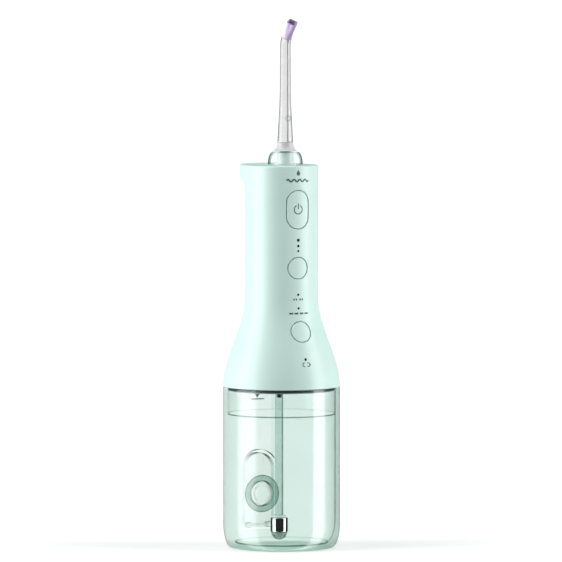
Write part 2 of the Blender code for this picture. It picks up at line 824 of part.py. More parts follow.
def hose_strainer(finish):
    """A slotted dome that keeps grit out of the hose."""
    top = WEIGHT_LOW - GAP
    profile = [(0.0, STRAINER_LOW)]
    for step in range(1, 6):
        angle = math.pi / 2.0 * step / 5
        radius = (WEIGHT_R - 0.4) * math.sin(angle)
        profile.append((radius, STRAINER_LOW + (top - STRAINER_LOW) * (1.0 - math.cos(angle))))
    profile.append((0.0, top))
    strainer = new_object("hose_strainer", moved(turned(profile, 24), (0.0, HOSE_Y, 0.0)))
    cut(strainer, rod(2.2, STRAINER_LOW + 1.8, top + 1.0, y=HOSE_Y))
    for across in (False, True):
        reach = (0.5, WEIGHT_R + 1.0)
        half_x, half_y = reach[::-1] if across else reach
        sides = (-half_x, half_x, HOSE_Y - half_y, HOSE_Y + half_y)
        cut(strainer, box(*sides, DRAIN_SLOT_LOW, DRAIN_SLOT_TOP))
    return finish_object(strainer, finish)


# ---------------------------------------------------------------- pump and drive


def pinion_place():
    x = GEAR_X + CENTRE_DISTANCE * math.cos(MESH_ANGLE)
    y = GEAR_Y + CENTRE_DISTANCE * math.sin(MESH_ANGLE)
    return x, y


def pump_bracket(finish):
    disc = rod(BRACKET_R, BRACKET_LOW, BRACKET_TOP, steps=HANDLE_STEPS)
    bracket = new_object("pump_bracket", disc)
    for x, y in POSTS:
        join(bracket, rod(POST_R, BRACKET_LOW + 0.5, UPPER_LOW - GAP, x, y, 16))
        cut(bracket, rod(SCREW_R + 0.1, BRACKET_LOW - 1.0, BRACKET_LOW + 7.0, x, y, 16))
    for radius, x in ((SHAFT_R + 0.1, GEAR_X), (INLET_TUBE_R + 0.6, VALVE_X)):
        cut(bracket, rod(radius, BRACKET_LOW - 1.0, BRACKET_TOP + 1.0, x, GEAR_Y))
    return finish_object(bracket, finish)


def upper_bracket(finish):
    disc = rod(UPPER_R, UPPER_LOW, UPPER_TOP, steps=HANDLE_STEPS)
    plate = new_object("upper_bracket", disc)
    holes = (
        (SHAFT_R + 0.1, GEAR_X, GEAR_Y),
        (2.0, *pinion_place()),
        (OUTLET_TUBE_R + 0.6, VALVE_X, GEAR_Y),
    )
    depth = (UPPER_LOW - 1.0, UPPER_TOP + 1.0)
    for radius, x, y in holes:
        cut(plate, rod(radius, *depth, x, y))
    notch_half = BOARD_HALF_WIDTH + 1.0
    cut(plate, box(-notch_half, notch_half, -UPPER_R - 1.0, -NOTCH_Y, *depth))
    return finish_object(plate, finish)


def drive_gear(finish):
    """The large gear with its round eccentric below, bored for the shaft."""
    gap_phase = MESH_ANGLE + math.pi / GEAR_TEETH
    gear = new_object("drive_gear", prism(gear_outline(GEAR_TEETH, gap_phase), GEAR_LOW, GEAR_TOP))
    join(gear, rod(ECCENTRIC_R, PUMP_Z - ROD_HALF - 0.2, GEAR_LOW + 0.5, 0.0, CRANK, 32))
    cut(gear, rod(SHAFT_R + RUNNING, PUMP_Z - 5.0, GEAR_TOP + 1.0))
    gear.data.transform(Matrix.Translation(Vector((GEAR_X, GEAR_Y, 0.0)) * MM))
    return finish_object(gear, finish)


def gear_shaft(finish):
    bm = rod(SHAFT_R, BRACKET_LOW + 0.1, UPPER_TOP - 0.1, GEAR_X, GEAR_Y)
    return finish_object(new_object("gear_shaft", bm), finish)


def motor(finish):
    x, y = pinion_place()
    edge = 1.2
    top = MOTOR_LOW + MOTOR_LENGTH
    profile = [
        (0.0, MOTOR_LOW),
        (MOTOR_R - edge, MOTOR_LOW),
        (MOTOR_R, MOTOR_LOW + edge),
        (MOTOR_R, top - edge),
        (MOTOR_R - edge, top),
        (4.0, top),
        (4.0, top + 1.2),
        (0.0, top + 1.2),
    ]
    return finish_object(new_object("motor", moved(turned(profile, 24), (x, y, 0.0))), finish)


def motor_pinion(finish):
    """Ten teeth on the motor's shaft, with one tooth in a gap of the large gear."""
    x, y = pinion_place()
    outline = gear_outline(PINION_TEETH, MESH_ANGLE + math.pi)
    pinion = new_object("motor_pinion", prism(outline, GEAR_LOW, GEAR_TOP))
    join(pinion, rod(1.0, GEAR_TOP - 0.5, MOTOR_LOW - GAP, steps=16))
    pinion.data.transform(Matrix.Translation(Vector((x, y, 0.0)) * MM))
    return finish_object(pinion, finish)


def connecting_rod(finish):
    low, high = PUMP_Z - ROD_HALF, PUMP_Z + ROD_HALF
    link = new_object("connecting_rod", rod(YOKE_R, low, high, GEAR_X, GEAR_Y, 36))
    sides = (GEAR_Y - SHANK_HALF, GEAR_Y + SHANK_HALF)
    join(link, box(GEAR_X + YOKE_BORE_R, WRIST_X, *sides, low + 0.2, high - 0.2))
    join(link, rod(SMALL_END_R, low, high, WRIST_X, GEAR_Y))
    cut(link, rod(YOKE_BORE_R, low - 1.0, high + 1.0, GEAR_X, GEAR_Y, 36))
    cut(link, rod(WRIST_R + 0.1, low - 1.0, high + 1.0, WRIST_X, GEAR_Y, 16))
    return finish_object(link, finish)


def wrist_pin(finish):
    reach = math.sqrt(PISTON_R**2 - WRIST_R**2) - 0.1
    bm = rod(WRIST_R, PUMP_Z - reach, PUMP_Z + reach, WRIST_X, GEAR_Y, 16)
    return finish_object(new_object("wrist_pin", bm), finish)


def along_pump(profile, steps=28):
    """Turn a profile of (radius, x) points about the pump's own axis."""
    return moved(lay_along_x(turned(profile, steps)), (0.0, GEAR_Y, PUMP_Z))


def piston(finish):
    groove_low, groove_high = PISTON_TOP_X - 3.6, PISTON_TOP_X - 1.2
    profile = [
        (0.0, PISTON_LOW_X),
        (PISTON_R, PISTON_LOW_X),
        (PISTON_R, groove_low),
        (PISTON_R - 1.2, groove_low),
        (PISTON_R - 1.2, groove_high),
        (PISTON_R, groove_high),
        (PISTON_R, PISTON_TOP_X),
        (0.0, PISTON_TOP_X),
    ]
    body = new_object("piston", along_pump(profile))
    slot_end = WRIST_X + SMALL_END_R + GAP
    slot_half = ROD_HALF + GAP
    sides = (GEAR_Y - PISTON_R - 1.0, GEAR_Y + PISTON_R + 1.0)
    cut(body, box(PISTON_LOW_X - 1.0, slot_end, *sides, PUMP_Z - slot_half, PUMP_Z + slot_half))
    cut(body, rod(WRIST_R + 0.1, PUMP_Z - 6.0, PUMP_Z + 6.0, WRIST_X, GEAR_Y, 16))
    return finish_object(body, finish)


def piston_seal(finish):
    low, high = PISTON_TOP_X - 3.4, PISTON_TOP_X - 1.4
    inner, outer = PISTON_R - 1.0, BARREL_BORE_R - 0.1
    waist = (outer - 0.2, (low + high) / 2.0)
    profile = [(inner, low), (outer, low), waist, (outer, high), (inner, high)]
    return finish_object(new_object("piston_seal", along_pump(profile)), finish)


def pump_cylinder(finish):
    profile = [
        (BARREL_BORE_R, BARREL_LOW_X),
        (BARREL_R, BARREL_LOW_X),
        (BARREL_R, BARREL_TOP_X),
        (BARREL_BORE_R, BARREL_TOP_X),
    ]
    return finish_object(new_object("pump_cylinder", along_pump(profile)), finish)


def pump_head(finish):
    """The valve block: a bore from the cylinder meets two valve chambers, one above the other."""
    sides = (GEAR_Y - HEAD_HALF_WIDTH, GEAR_Y + HEAD_HALF_WIDTH)
    head = new_object("pump_head", box(HEAD_LOW_X, HEAD_TOP_X, *sides, HEAD_LOW, HEAD_TOP))
    start = HEAD_LOW_X - 1.0
    bore = [(0.0, start), (PASSAGE_R + 0.1, start), (PASSAGE_R + 0.1, VALVE_X), (0.0, VALVE_X)]
    cut(head, along_pump(bore, 16))
    levels = (
        (PASSAGE_R, HEAD_LOW - 1.0, HEAD_TOP + 1.0),
        (CHAMBER_R, INLET_SEAT, INLET_SEAT + VALVE_LIFT + 1.3),
        (CHAMBER_R, OUTLET_SEAT, HEAD_TOP - 1.0),
    )
    for radius, low, high in levels:
        cut(head, rod(radius, low, high, VALVE_X, GEAR_Y, 20))
    return finish_object(head, finish)


def valve(name, seat_z, finish):
    """A small poppet: a disc on its seat with a short guide stub."""
    low = seat_z + 0.25
    disc_top, stub_top, stub_r = low + 0.6, low + 1.1, 0.7
    profile = [
        (0.0, low),
        (VALVE_R, low),
        (VALVE_R, disc_top),
        (stub_r, disc_top),
        (stub_r, stub_top),
        (0.0, stub_top),
    ]
    bm = moved(turned(profile, 16), (VALVE_X, GEAR_Y, 0.0))
    return finish_object(new_object(name, bm), finish)


def inlet_tube(finish):
    start = Vector((2.05, HOSE_Y + 0.4, INLET_Z))
    bend_start = (VALVE_X - 3.6, GEAR_Y - 0.7, INLET_Z)
    end = (VALVE_X, GEAR_Y, HEAD_LOW - GAP)
    path = [start] + curve_points(bend_start, (VALVE_X, GEAR_Y, INLET_Z), end)
    bm = tube(path, lambda f: INLET_TUBE_R, lambda f: 0.9, 10)
    return finish_object(new_object("inlet_tube", bm), finish)


def outlet_tube(finish):
    """From the pump head, inwards past the motor, up beside the cell and into the socket."""
    start = (VALVE_X, GEAR_Y, HEAD_TOP + GAP)
    end = (SOCKET_R + GAP, NOZZLE_Y, OUTLET_PORT_Z)
    riser_low, riser_top = (OUTLET_X, OUTLET_Y, 146.0), (OUTLET_X, OUTLET_Y, 198.0)
    lower = curve_points(start, (VALVE_X, GEAR_Y, 127.0), (16.5, 5.5, 133.0), 4)
    middle = curve_points((15.0, 4.8, 136.5), (OUTLET_X, OUTLET_Y, 140.0), riser_low, 3)
    upper = curve_points(riser_top, (OUTLET_X, OUTLET_Y, 208.0), (OUTLET_X, 0.0, 212.0), 3)
    last = curve_points((13.0, -2.5, 214.8), (11.5, NOZZLE_Y, OUTLET_PORT_Z), end, 3)
    bm = tube(lower + middle + upper + last, lambda f: OUTLET_TUBE_R, lambda f: 1.0, 10)
    return finish_object(new_object("outlet_tube", bm), finish)


# ---------------------------------------------------------------- electronics


def battery_cell(finish):
    top = CELL_LOW + CELL_LENGTH
    profile = [
        (0.0, CELL_LOW),
        (CELL_R - 0.6, CELL_LOW),
        (CELL_R, CELL_LOW + 0.6),
        (CELL_R, top - 0.6),
        (CELL_R - 0.6, top),
        (3.0, top),
        (3.0, top + 1.0),
        (0.0, top + 1.0),
    ]
    cell = new_object("battery_cell", moved(turned(profile, 24), (0.0, CELL_Y, 0.0)))
    return finish_object(cell, finish)


def circuit_board(finish):
    half = BOARD_HALF_WIDTH
    slab = box(-half, half, BOARD_Y, BOARD_Y + BOARD_THICK, BOARD_LOW, BOARD_TOP)
    return finish_object(new_object("circuit_board", slab), finish)


def tact_switch(name, z, finish):
    """A square switch body with a round plunger, on the front of the board."""
    back = BOARD_Y - 0.1
    front = BOARD_Y - SWITCH_DEPTH
    switch = new_object(name, box(-2.2, 2.2, front, back, z - 2.2, z + 2.2))
    join(switch, front_prism(circle(1.0, 14), z, front - PLUNGER_DEPTH, front + 0.5))
    return finish_object(switch, finish)


# ---------------------------------------------------------------- collar and nozzle


def at_nozzle(bm):
    return moved(bm, (0.0, NOZZLE_Y, 0.0))


def nozzle_socket(finish):
    profile = [
        (0.0, SOCKET_LOW),
        (SOCKET_R, SOCKET_LOW),
        (SOCKET_R, SOCKET_TOP),
        (SOCKET_BORE_R, SOCKET_TOP),
        (SOCKET_BORE_R, SOCKET_LOW + 2.5),
        (0.0, SOCKET_LOW + 2.5),
    ]
    socket = new_object("nozzle_socket", at_nozzle(turned(profile, 32)))
    port = lay_along_x(prism(circle(1.0, 14), SOCKET_BORE_R - 1.5, SOCKET_R + 1.0))
    cut(socket, moved(port, (0.0, NOZZLE_Y, OUTLET_PORT_Z)))
    return finish_object(socket, finish)


def collar_hub(finish):
    """The turning sleeve: a flange held under the handle's top and a neck inside the collar."""
    neck_top = COLLAR_LOW + 0.6
    profile = [
        (HUB_BORE_R, HUB_LOW),
        (HUB_FLANGE_R, HUB_LOW),
        (HUB_FLANGE_R, HUB_FLANGE_TOP),
        (HUB_NECK_R, HUB_FLANGE_TOP),
        (HUB_NECK_R, neck_top),
        (HUB_R, neck_top),
        (HUB_R, HUB_TOP),
        (HUB_BORE_R, HUB_TOP),
    ]
    return finish_object(new_object("collar_hub", at_nozzle(turned(profile, 28))), finish)


def dome_profile(low_r, top_r, low, top, bulge, steps=5):
    """A convex side from the wide foot to the narrower top."""
    points = []
    for step in range(steps + 1):
        angle = math.pi / 2.0 * bulge * step / steps
        full = math.pi / 2.0 * bulge
        radius = low_r - (low_r - top_r) * (1.0 - math.cos(angle)) / (1.0 - math.cos(full))
        points.append((radius, low + (top - low) * math.sin(angle) / math.sin(full)))
    return points


def nozzle_collar(finish):
    outside = dome_profile(COLLAR_R, COLLAR_TOP_R, COLLAR_LOW, COLLAR_TOP, 0.85)
    inner_top = COLLAR_TOP - COLLAR_WALL
    inside = dome_profile(COLLAR_R - COLLAR_WALL, COLLAR_TOP_R - 0.8, COLLAR_LOW, inner_top, 0.85)
    lip = [(HUB_R + GAP, COLLAR_TOP), (HUB_R + GAP, inner_top)]
    profile = outside + lip + inside[::-1]
    return finish_object(new_object("nozzle_collar", at_nozzle(turned(profile, 32))), finish)


def nozzle_insert(finish):
    """The white foot of the nozzle: a concave skirt, a long hollow stem and its seal groove."""
    groove_low, groove_high = STEM_LOW + 2.0, STEM_LOW + 3.8
    profile = [
        (NOZZLE_BORE_R, STEM_LOW),
        (NOZZLE_STEM_R, STEM_LOW),
        (NOZZLE_STEM_R, groove_low),
        (NOZZLE_STEM_R - 0.9, groove_low),
        (NOZZLE_STEM_R - 0.9, groove_high),
        (NOZZLE_STEM_R, groove_high),
        (NOZZLE_STEM_R, INSERT_LOW),
    ]
    for step in range(5):
        angle = math.pi / 2.0 * step / 4
        radius = INSERT_LOW_R - (INSERT_LOW_R - INSERT_TOP_R) * math.sin(angle)
        profile.append((radius, INSERT_TOP - (INSERT_TOP - INSERT_LOW - 0.4) * math.cos(angle)))
    profile.append((NOZZLE_BORE_R, INSERT_TOP))
    return finish_object(new_object("nozzle_insert", at_nozzle(turned(profile, 24))), finish)


def stem_seal(finish):
    middle = STEM_LOW + 2.9
    made = new_object("stem_seal", at_nozzle(torus(NOZZLE_STEM_R - 0.35, 0.45, middle, 16, 6)))
    return finish_object(made, finish)


def nozzle_point(length):
    """The nozzle's centre line: straight up, round the bend and straight on."""
    straight = BEND_Z - TUBE_LOW
    arc = BEND_R * BEND_ANGLE
    if length <= straight:
        return Vector((0.0, NOZZLE_Y, TUBE_LOW + length))
    angle = min((length - straight) / BEND_R, BEND_ANGLE)
    beyond = max(length - straight - arc, 0.0)
    forward = BEND_R * (1.0 - math.cos(angle)) + beyond * math.sin(angle)
    up = BEND_R * math.sin(angle) + beyond * math.cos(angle)
    return Vector((0.0, NOZZLE_Y - forward, BEND_Z + up))


def tube_radius(z):
    """A flared foot, a long slow taper and a parallel end."""
    t = min(max((z - TUBE_LOW) / (TUBE_NECK_Z - TUBE_LOW), 0.0), 1.0)
    foot = (TUBE_LOW_R - TUBE_TOP_R) * (1.0 - t) ** 1.3 * 0.75
    rest = (TUBE_LOW_R - TUBE_TOP_R) * 0.25 * (BEND_Z - z) / (BEND_Z - TUBE_LOW)
    return TUBE_TOP_R + foot + max(rest, 0.0)


def nozzle_tube(finish):
    straight = BEND_Z - TUBE_LOW
    lengths = [straight * i / 6 for i in range(6)]
    lengths += [straight + BEND_R * BEND_ANGLE * i / 4 for i in range(5)]
    path = [nozzle_point(length) for length in lengths]
    radii = [tube_radius(point.z) for point in path]
    bm = tube(path, lambda f: radii[round(f * (len(radii) - 1))], lambda f: NOZZLE_BORE_R, 20)
    return finish_object(new_object("nozzle_tube", bm), finish)


def nozzle_tip(finish):
    """The soft tip: a lobed sleeve that opens out towards its end."""
    start = BEND_Z - TUBE_LOW + BEND_R * BEND_ANGLE + GAP
    path = [nozzle_point(start + TIP_LENGTH * i / 5) for i in range(6)]

    def outer(f):
        return TIP_LOW_R + (TIP_TOP_R - TIP_LOW_R) * f * f

    def inner(f):
        opening = max(f - 0.45, 0.0) / 0.55
        return NOZZLE_BORE_R + (TIP_TOP_R - 0.7 - NOZZLE_BORE_R) * opening

    bm = tube(path, outer, inner, 24, lobe_at=lambda f: 0.13 * f)
    return finish_object(new_object("nozzle_tip", bm), finish)


# ---------------------------------------------------------------- assembly


def build():
    for old in list(bpy.data.objects):
        bpy.data.objects.remove(old)

    clear = material("clear_plastic", (0.80, 0.92, 0.88), 0.05, alpha=0.35)
    mint = material("mint_plastic", (0.66, 0.83, 0.77), 0.35)
    green = material("green_clear_plastic", (0.50, 0.74, 0.67), 0.1, alpha=0.5)
    white = material("white_plastic", (0.85, 0.87, 0.87), 0.3)
    purple = material("purple_rubber", (0.42, 0.32, 0.60), 0.5)
    hose = material("hose_rubber", (0.55, 0.72, 0.66), 0.4)
    soft = material("clear_rubber", (0.75, 0.84, 0.82), 0.5)
    black = material("black_rubber", (0.03, 0.035, 0.035), 0.6)
    grey = material("grey_plastic", (0.30, 0.33, 0.33), 0.45)
    dark = material("dark_plastic", (0.06, 0.07, 0.07), 0.4)
    steel = material("polished_steel", (0.75, 0.76, 0.77), 0.12, 1.0)
    brass = material("brass", (0.78, 0.60, 0.28), 0.3, 1.0)
    board = material("board_green", (0.05, 0.25, 0.14), 0.5)
    cell = material("cell_wrap", (0.10, 0.30, 0.55), 0.4)
    glow = material("lens_plastic", (0.20, 0.26, 0.25), 0.2)

    reservoir_shell(clear)
    door_hinge_pin(clear)
    door = [fill_door(clear), door_plug(soft)]
    pivot("fill_door_pivot", (0.0, HINGE_Y, HINGE_Z), door)

    stem_reach = flare_radius(MODE_Z) + stem_end()
    mode_switch_z = MODE_Z - stem_reach * math.tan(mode_frame()[1])
    fixed = [
        handle_shell(mint),
        handle_base(grey),
        tank_seal_ring(black),
        hose_connector(dark),
        pump_bracket(grey),
        upper_bracket(grey),
        gear_shaft(steel),
        motor(steel),
        pump_cylinder(steel),
        pump_head(grey),
        inlet_tube(hose),
        outlet_tube(hose),
        battery_cell(cell),
        circuit_board(board),
        charging_socket(steel),
        nozzle_socket(grey),
        tact_switch("power_switch", POWER_Z, dark),
        tact_switch("intensity_switch", INTENSITY_Z, dark),
        tact_switch("mode_switch", mode_switch_z, dark),
    ]
    for number, (x, y) in enumerate(POSTS, 1):
        fixed.append(base_screw(f"base_screw_{number}", x, y, steel))
    for group, places in (("intensity", INTENSITY_LENSES), ("mode", MODE_LENSES)):
        for number, (z, radius) in enumerate(places, 1):
            fixed.append(lens(f"{group}_lens_{number}", z, radius, glow))
    fixed.append(lens("battery_lens", *BATTERY_LENS, glow))
    handle = pivot("handle_pivot", (0.0, 0.0, TANK_TOP), fixed)

    half_height = POWER_HEIGHT / 2.0
    power = straight_button("power_button", POWER_Z, power_outline(), half_height, mint)
    intensity_outline = circle(INTENSITY_R, 28)
    intensity = straight_button(
        "intensity_button", INTENSITY_Z, intensity_outline, INTENSITY_R, mint
    )
    hose_pieces = [suction_hose(hose), weight_cap(white), hose_weight(steel), hose_strainer(dark)]
    rod_pieces = [connecting_rod(grey), wrist_pin(steel), piston(grey), piston_seal(black)]
    inlet = valve("inlet_valve", INLET_SEAT, soft)
    outlet = valve("outlet_valve", OUTLET_SEAT, soft)
    cover_hinge_z = CHARGE_Z - CHARGE_HEIGHT / 2.0 + GAP
    bodies = (
        ("power_pivot", (0.0, -NECK_R, POWER_Z), [power]),
        ("intensity_pivot", (0.0, -NECK_R, INTENSITY_Z), [intensity]),
        ("mode_pivot", (0.0, -flare_radius(MODE_Z), MODE_Z), [mode_button(mint)]),
        ("port_cover_pivot", (0.0, NECK_R, cover_hinge_z), [port_cover(soft)]),
        ("hose_pivot", (0.0, HOSE_Y, HOSE_TOP + GAP), hose_pieces),
        ("gear_pivot", (GEAR_X, GEAR_Y, GEAR_LOW), [drive_gear(white)]),
        ("motor_pivot", (*pinion_place(), GEAR_LOW), [motor_pinion(brass)]),
        ("piston_pivot", (WRIST_X, GEAR_Y, PUMP_Z), rod_pieces),
        ("inlet_valve_pivot", (VALVE_X, GEAR_Y, INLET_SEAT), [inlet]),
        ("outlet_valve_pivot", (VALVE_X, GEAR_Y, OUTLET_SEAT), [outlet]),
        ("collar_pivot", (0.0, NOZZLE_Y, HANDLE_TOP), [nozzle_collar(green), collar_hub(white)]),
    )
    collar = [pivot(name, place, pieces) for name, place, pieces in bodies][-1]
    nozzle_pieces = [nozzle_insert(white), stem_seal(black), nozzle_tube(clear), nozzle_tip(purple)]
    nozzle = pivot("nozzle_pivot", (0.0, NOZZLE_Y, COLLAR_TOP), nozzle_pieces)
    for child, parent in ((nozzle, collar), (collar, handle)):
        bpy.context.view_layer.update()
        child.parent = parent
        child.matrix_parent_inverse = parent.matrix_world.inverted()


build()
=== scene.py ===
"""Looks for the cordless water flosser: fine surfaces, materials, studio and camera.

Lengths are in millimetres, as in the part's own design, and made() turns each mesh into metres.
Driving sizes come from the CAD nodes' boxes, so every piece sits where the CAD says.
"""

import math

import bmesh
import bpy
from mathutils import Matrix, Vector


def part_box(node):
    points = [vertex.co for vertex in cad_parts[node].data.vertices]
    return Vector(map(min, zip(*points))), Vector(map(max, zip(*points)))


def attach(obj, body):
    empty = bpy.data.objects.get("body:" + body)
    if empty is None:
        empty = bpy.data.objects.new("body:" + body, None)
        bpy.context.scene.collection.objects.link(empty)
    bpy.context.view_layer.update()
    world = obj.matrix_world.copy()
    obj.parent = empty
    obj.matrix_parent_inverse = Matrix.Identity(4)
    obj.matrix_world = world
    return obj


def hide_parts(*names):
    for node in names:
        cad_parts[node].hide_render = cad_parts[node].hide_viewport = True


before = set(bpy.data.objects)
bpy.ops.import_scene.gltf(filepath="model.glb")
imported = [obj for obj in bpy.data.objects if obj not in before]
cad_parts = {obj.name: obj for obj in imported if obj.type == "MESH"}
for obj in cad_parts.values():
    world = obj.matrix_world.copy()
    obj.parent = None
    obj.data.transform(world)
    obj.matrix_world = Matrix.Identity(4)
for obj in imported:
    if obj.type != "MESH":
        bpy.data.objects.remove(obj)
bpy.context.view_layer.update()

MM = 0.001


def span(node):
    """Lowest and highest corner of a CAD node, in millimetres."""
    low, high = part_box(node)
    return low / MM, high / MM


# ---------------------------------------------------------------- driving sizes

TANK_R = span("reservoir_shell")[1].x
TANK_TOP = span("reservoir_shell")[1].z
TANK_WALL = 2.7
TANK_FLOOR = 3.3
BASE_R = TANK_R - 5.0
CORNER_H = 14.0
DOOR_HALF = span("fill_door")[1].x + 0.35
DOOR_LOW = 7.3
DOOR_TOP = span("fill_door")[1].z + 0.35
POCKET_Y = span("fill_door")[0].y - 0.6
POCKET_WALL = 2.0
PORT_R = span("door_plug")[1].x + 0.4
PORT_Z = (span("door_plug")[0].z + span("door_plug")[1].z) / 2.0
PORT_RING_R = PORT_R + 3.8
PORT_RING_Y = span("door_plug")[0].y - 0.6
HINGE_Z = (span("door_hinge_pin")[0].z + span("door_hinge_pin")[1].z) / 2.0
HINGE_Y = (span("door_hinge_pin")[0].y + span("door_hinge_pin")[1].y) / 2.0
EAR_HALF = span("door_hinge_pin")[1].x + 0.1
EAR_WIDTH = 2.7
KNUCKLE_HALF = EAR_HALF - EAR_WIDTH - 0.3
HINGE_R = 1.4

HANDLE_LOW = span("handle_shell")[0].z
HANDLE_TOP = span("handle_shell")[1].z
LIP_REACH = span("handle_shell")[1].y
NECK_R = -span("power_button")[0].y
FLARE_LOW = 96.0
FLARE_TOP = 150.0
LIP_LOW = HANDLE_TOP - 15.2
LIP_RISE = 6.0
EDGE_R = 1.0
HANDLE_WALL = 2.2
TOP_WALL = 2.5

SEAM_GAP = 0.35
POWER_Z = (span("power_button")[0].z + span("power_button")[1].z) / 2.0
POWER_WIDTH = 2.0 * span("power_button")[1].x
POWER_HEIGHT = span("power_button")[1].z - span("power_button")[0].z
INTENSITY_Z = (span("intensity_button")[0].z + span("intensity_button")[1].z) / 2.0
INTENSITY_R = span("intensity_button")[1].x
MODE_Z = 130.5
MODE_R = span("mode_button")[1].x
STEM_END = span("mode_button")[1].y  # all three stems stop at this depth
CHARGE_Z = (span("port_cover")[0].z + span("port_cover")[1].z) / 2.0
CHARGE_WIDTH = 2.0 * span("port_cover")[1].x
CHARGE_HEIGHT = span("port_cover")[1].z - span("port_cover")[0].z

NOZZLE_Y = (span("collar_hub")[0].y + span("collar_hub")[1].y) / 2.0
COLLAR_LOW = span("nozzle_collar")[0].z
COLLAR_TOP = span("nozzle_collar")[1].z
COLLAR_R = span("nozzle_collar")[1].x
COLLAR_TOP_R = 8.1
COLLAR_WALL = 1.4
HUB_R = 5.0
HUB_BORE_R = 3.4
INSERT_LOW = COLLAR_TOP + 0.3
INSERT_TOP = span("nozzle_insert")[1].z
INSERT_LOW_R = span("nozzle_insert")[1].x
TUBE_LOW = span("nozzle_tube")[0].z
TUBE_LOW_R = span("nozzle_tube")[1].x
TUBE_TOP_R = 3.15
TUBE_NECK_Z = 270.0
NOZZLE_BORE_R = 1.2
TUBE_BORE_R = 1.8
RING_Z = TUBE_LOW + 14.1
RING_R = 1.5
RING_WIRE_R = 0.22
BEND_Z = 299.0
BEND_R = 9.0
BEND_ANGLE = math.radians(38.0)
TIP_LENGTH = 11.6
TIP_LOW_R = 2.75
TIP_TOP_R = 3.1
TIP_LOBES = 4

HOSE_Y = (span("suction_hose")[0].y + span("suction_hose")[1].y) / 2.0
HOSE_R = span("suction_hose")[1].x
HOSE_BORE_R = 1.6
LEVEL_Z = 80.0

SIDES = 128  # facets round a large turned piece

VIEW_AZIMUTH = math.radians(-27.0)
VIEW_ELEVATION = math.radians(3.5)
AWAY = (math.cos(VIEW_AZIMUTH), math.sin(VIEW_AZIMUTH), 0.0)  # the camera's right
NEAR = (math.sin(VIEW_AZIMUTH), -math.cos(VIEW_AZIMUTH), 0.0)  # from the object to the camera


# ---------------------------------------------------------------- node materials


def shader_node(tree, kind, inputs=None, **settings):
    """Add a node; an input takes a value or another node's socket."""
    added = tree.nodes.new(kind)
    for key, value in settings.items():
        setattr(added, key, value)
    for key, value in (inputs or {}).items():
        if isinstance(value, bpy.types.NodeSocket):
            tree.links.new(value, added.inputs[key])
        else:
            added.inputs[key].default_value = value
    return added


def noise(tree, scale, detail=3.0, stretch=(1.0, 1.0, 1.0)):
    """Noise in object space, in cells of roughly one metre over the scale."""
    place = shader_node(tree, "ShaderNodeTexCoord").outputs["Object"]
    scaled = shader_node(tree, "ShaderNodeMapping", {"Vector": place, "Scale": stretch})
    made_noise = shader_node(
        tree, "ShaderNodeTexNoise", {"Vector": scaled.outputs[0], "Scale": scale, "Detail": detail}
    )
    return made_noise.outputs[0]


def remap(tree, value, low, high, from_low=0.3, from_high=0.7):
    ranged = shader_node(
        tree,
        "ShaderNodeMapRange",
        {"Value": value, "From Min": from_low, "From Max": from_high, "To Min": low, "To Max": high},
        clamp=True,
    )
    return ranged.outputs[0]


def blend_colour(tree, factor, first, second):
    mixed = shader_node(tree, "ShaderNodeMix", data_type="RGBA")
    for index, value in ((0, factor), (6, first), (7, second)):
        if isinstance(value, bpy.types.NodeSocket):
            tree.links.new(value, mixed.inputs[index])
        else:
            mixed.inputs[index].default_value = value
    return mixed.outputs[2]


def shade(colour, factor):
    return (*[min(channel * factor, 1.0) for channel in colour], 1.0)


def bump(tree, height, strength, depth_mm):
    bumped = shader_node(
        tree, "ShaderNodeBump", {"Height": height, "Strength": strength, "Distance": depth_mm * MM}
    )
    return bumped.outputs[0]


def new_material(name):
    made_material = bpy.data.materials.new(name)
    made_material.use_nodes = True
    tree = made_material.node_tree
    tree.nodes.clear()
    return made_material, tree


def output(tree, surface):
    shader_node(tree, "ShaderNodeOutputMaterial", {"Surface": surface})


def moulded(name, colour, roughness, tone=0.04, grain=1800.0, grain_depth=0.01, wear=0.12, **extra):
    """Moulded plastic or rubber: slow tone changes, a fine grain and lighter rubbed edges."""
    made_material, tree = new_material(name)
    slow = noise(tree, 35.0)
    base = blend_colour(tree, slow, shade(colour, 1.0 - tone), shade(colour, 1.0 + tone))
    edges = shader_node(tree, "ShaderNodeNewGeometry").outputs["Pointiness"]
    rubbed = remap(tree, edges, 0.0, wear, 0.52, 0.6)
    base = blend_colour(tree, rubbed, base, shade(colour, 1.35))
    fine = noise(tree, grain, 2.0)
    rough = remap(tree, noise(tree, 160.0), roughness * 0.9, roughness * 1.12)
    principled = shader_node(
        tree,
        "ShaderNodeBsdfPrincipled",
        {
            "Base Color": base,
            "Roughness": rough,
            "Normal": bump(tree, fine, 0.25, grain_depth),
            **extra,
        },
    )
    output(tree, principled.outputs[0])
    return made_material


def painted_light_rubber(name, lit, shaded, roughness):
    """Rubber painted lighter on the main light's side and darker on the side turned away: painted light and painted
    shade, with a faint mottle.
    """
    made_material, tree = new_material(name)
    normal = shader_node(tree, "ShaderNodeNewGeometry").outputs["Normal"]
    # painted shade: the colour runs from the lit colour to the shaded colour as the surface turns away from the main
    # light, with a faint mottle on top
    painted_shade_mask = remap(tree, along(tree, normal, AWAY), 0.0, 1.0, -0.9, 0.1)
    painted_shade_and_mottle = math_node(tree, "ADD", painted_shade_mask, remap(tree, noise(tree, 300.0), -0.06, 0.06))
    base = blend_colour(tree, painted_shade_and_mottle, (*lit, 1.0), (*shaded, 1.0))
    principled = shader_node(
        tree,
        "ShaderNodeBsdfPrincipled",
        {
            "Base Color": base,
            "Roughness": remap(tree, noise(tree, 160.0), roughness * 0.9, roughness * 1.1),
            "Specular IOR Level": 0.3,
            "Normal": bump(tree, noise(tree, 1200.0, 2.0), 0.2, 0.01),
        },
    )
    output(tree, principled.outputs[0])
    return made_material


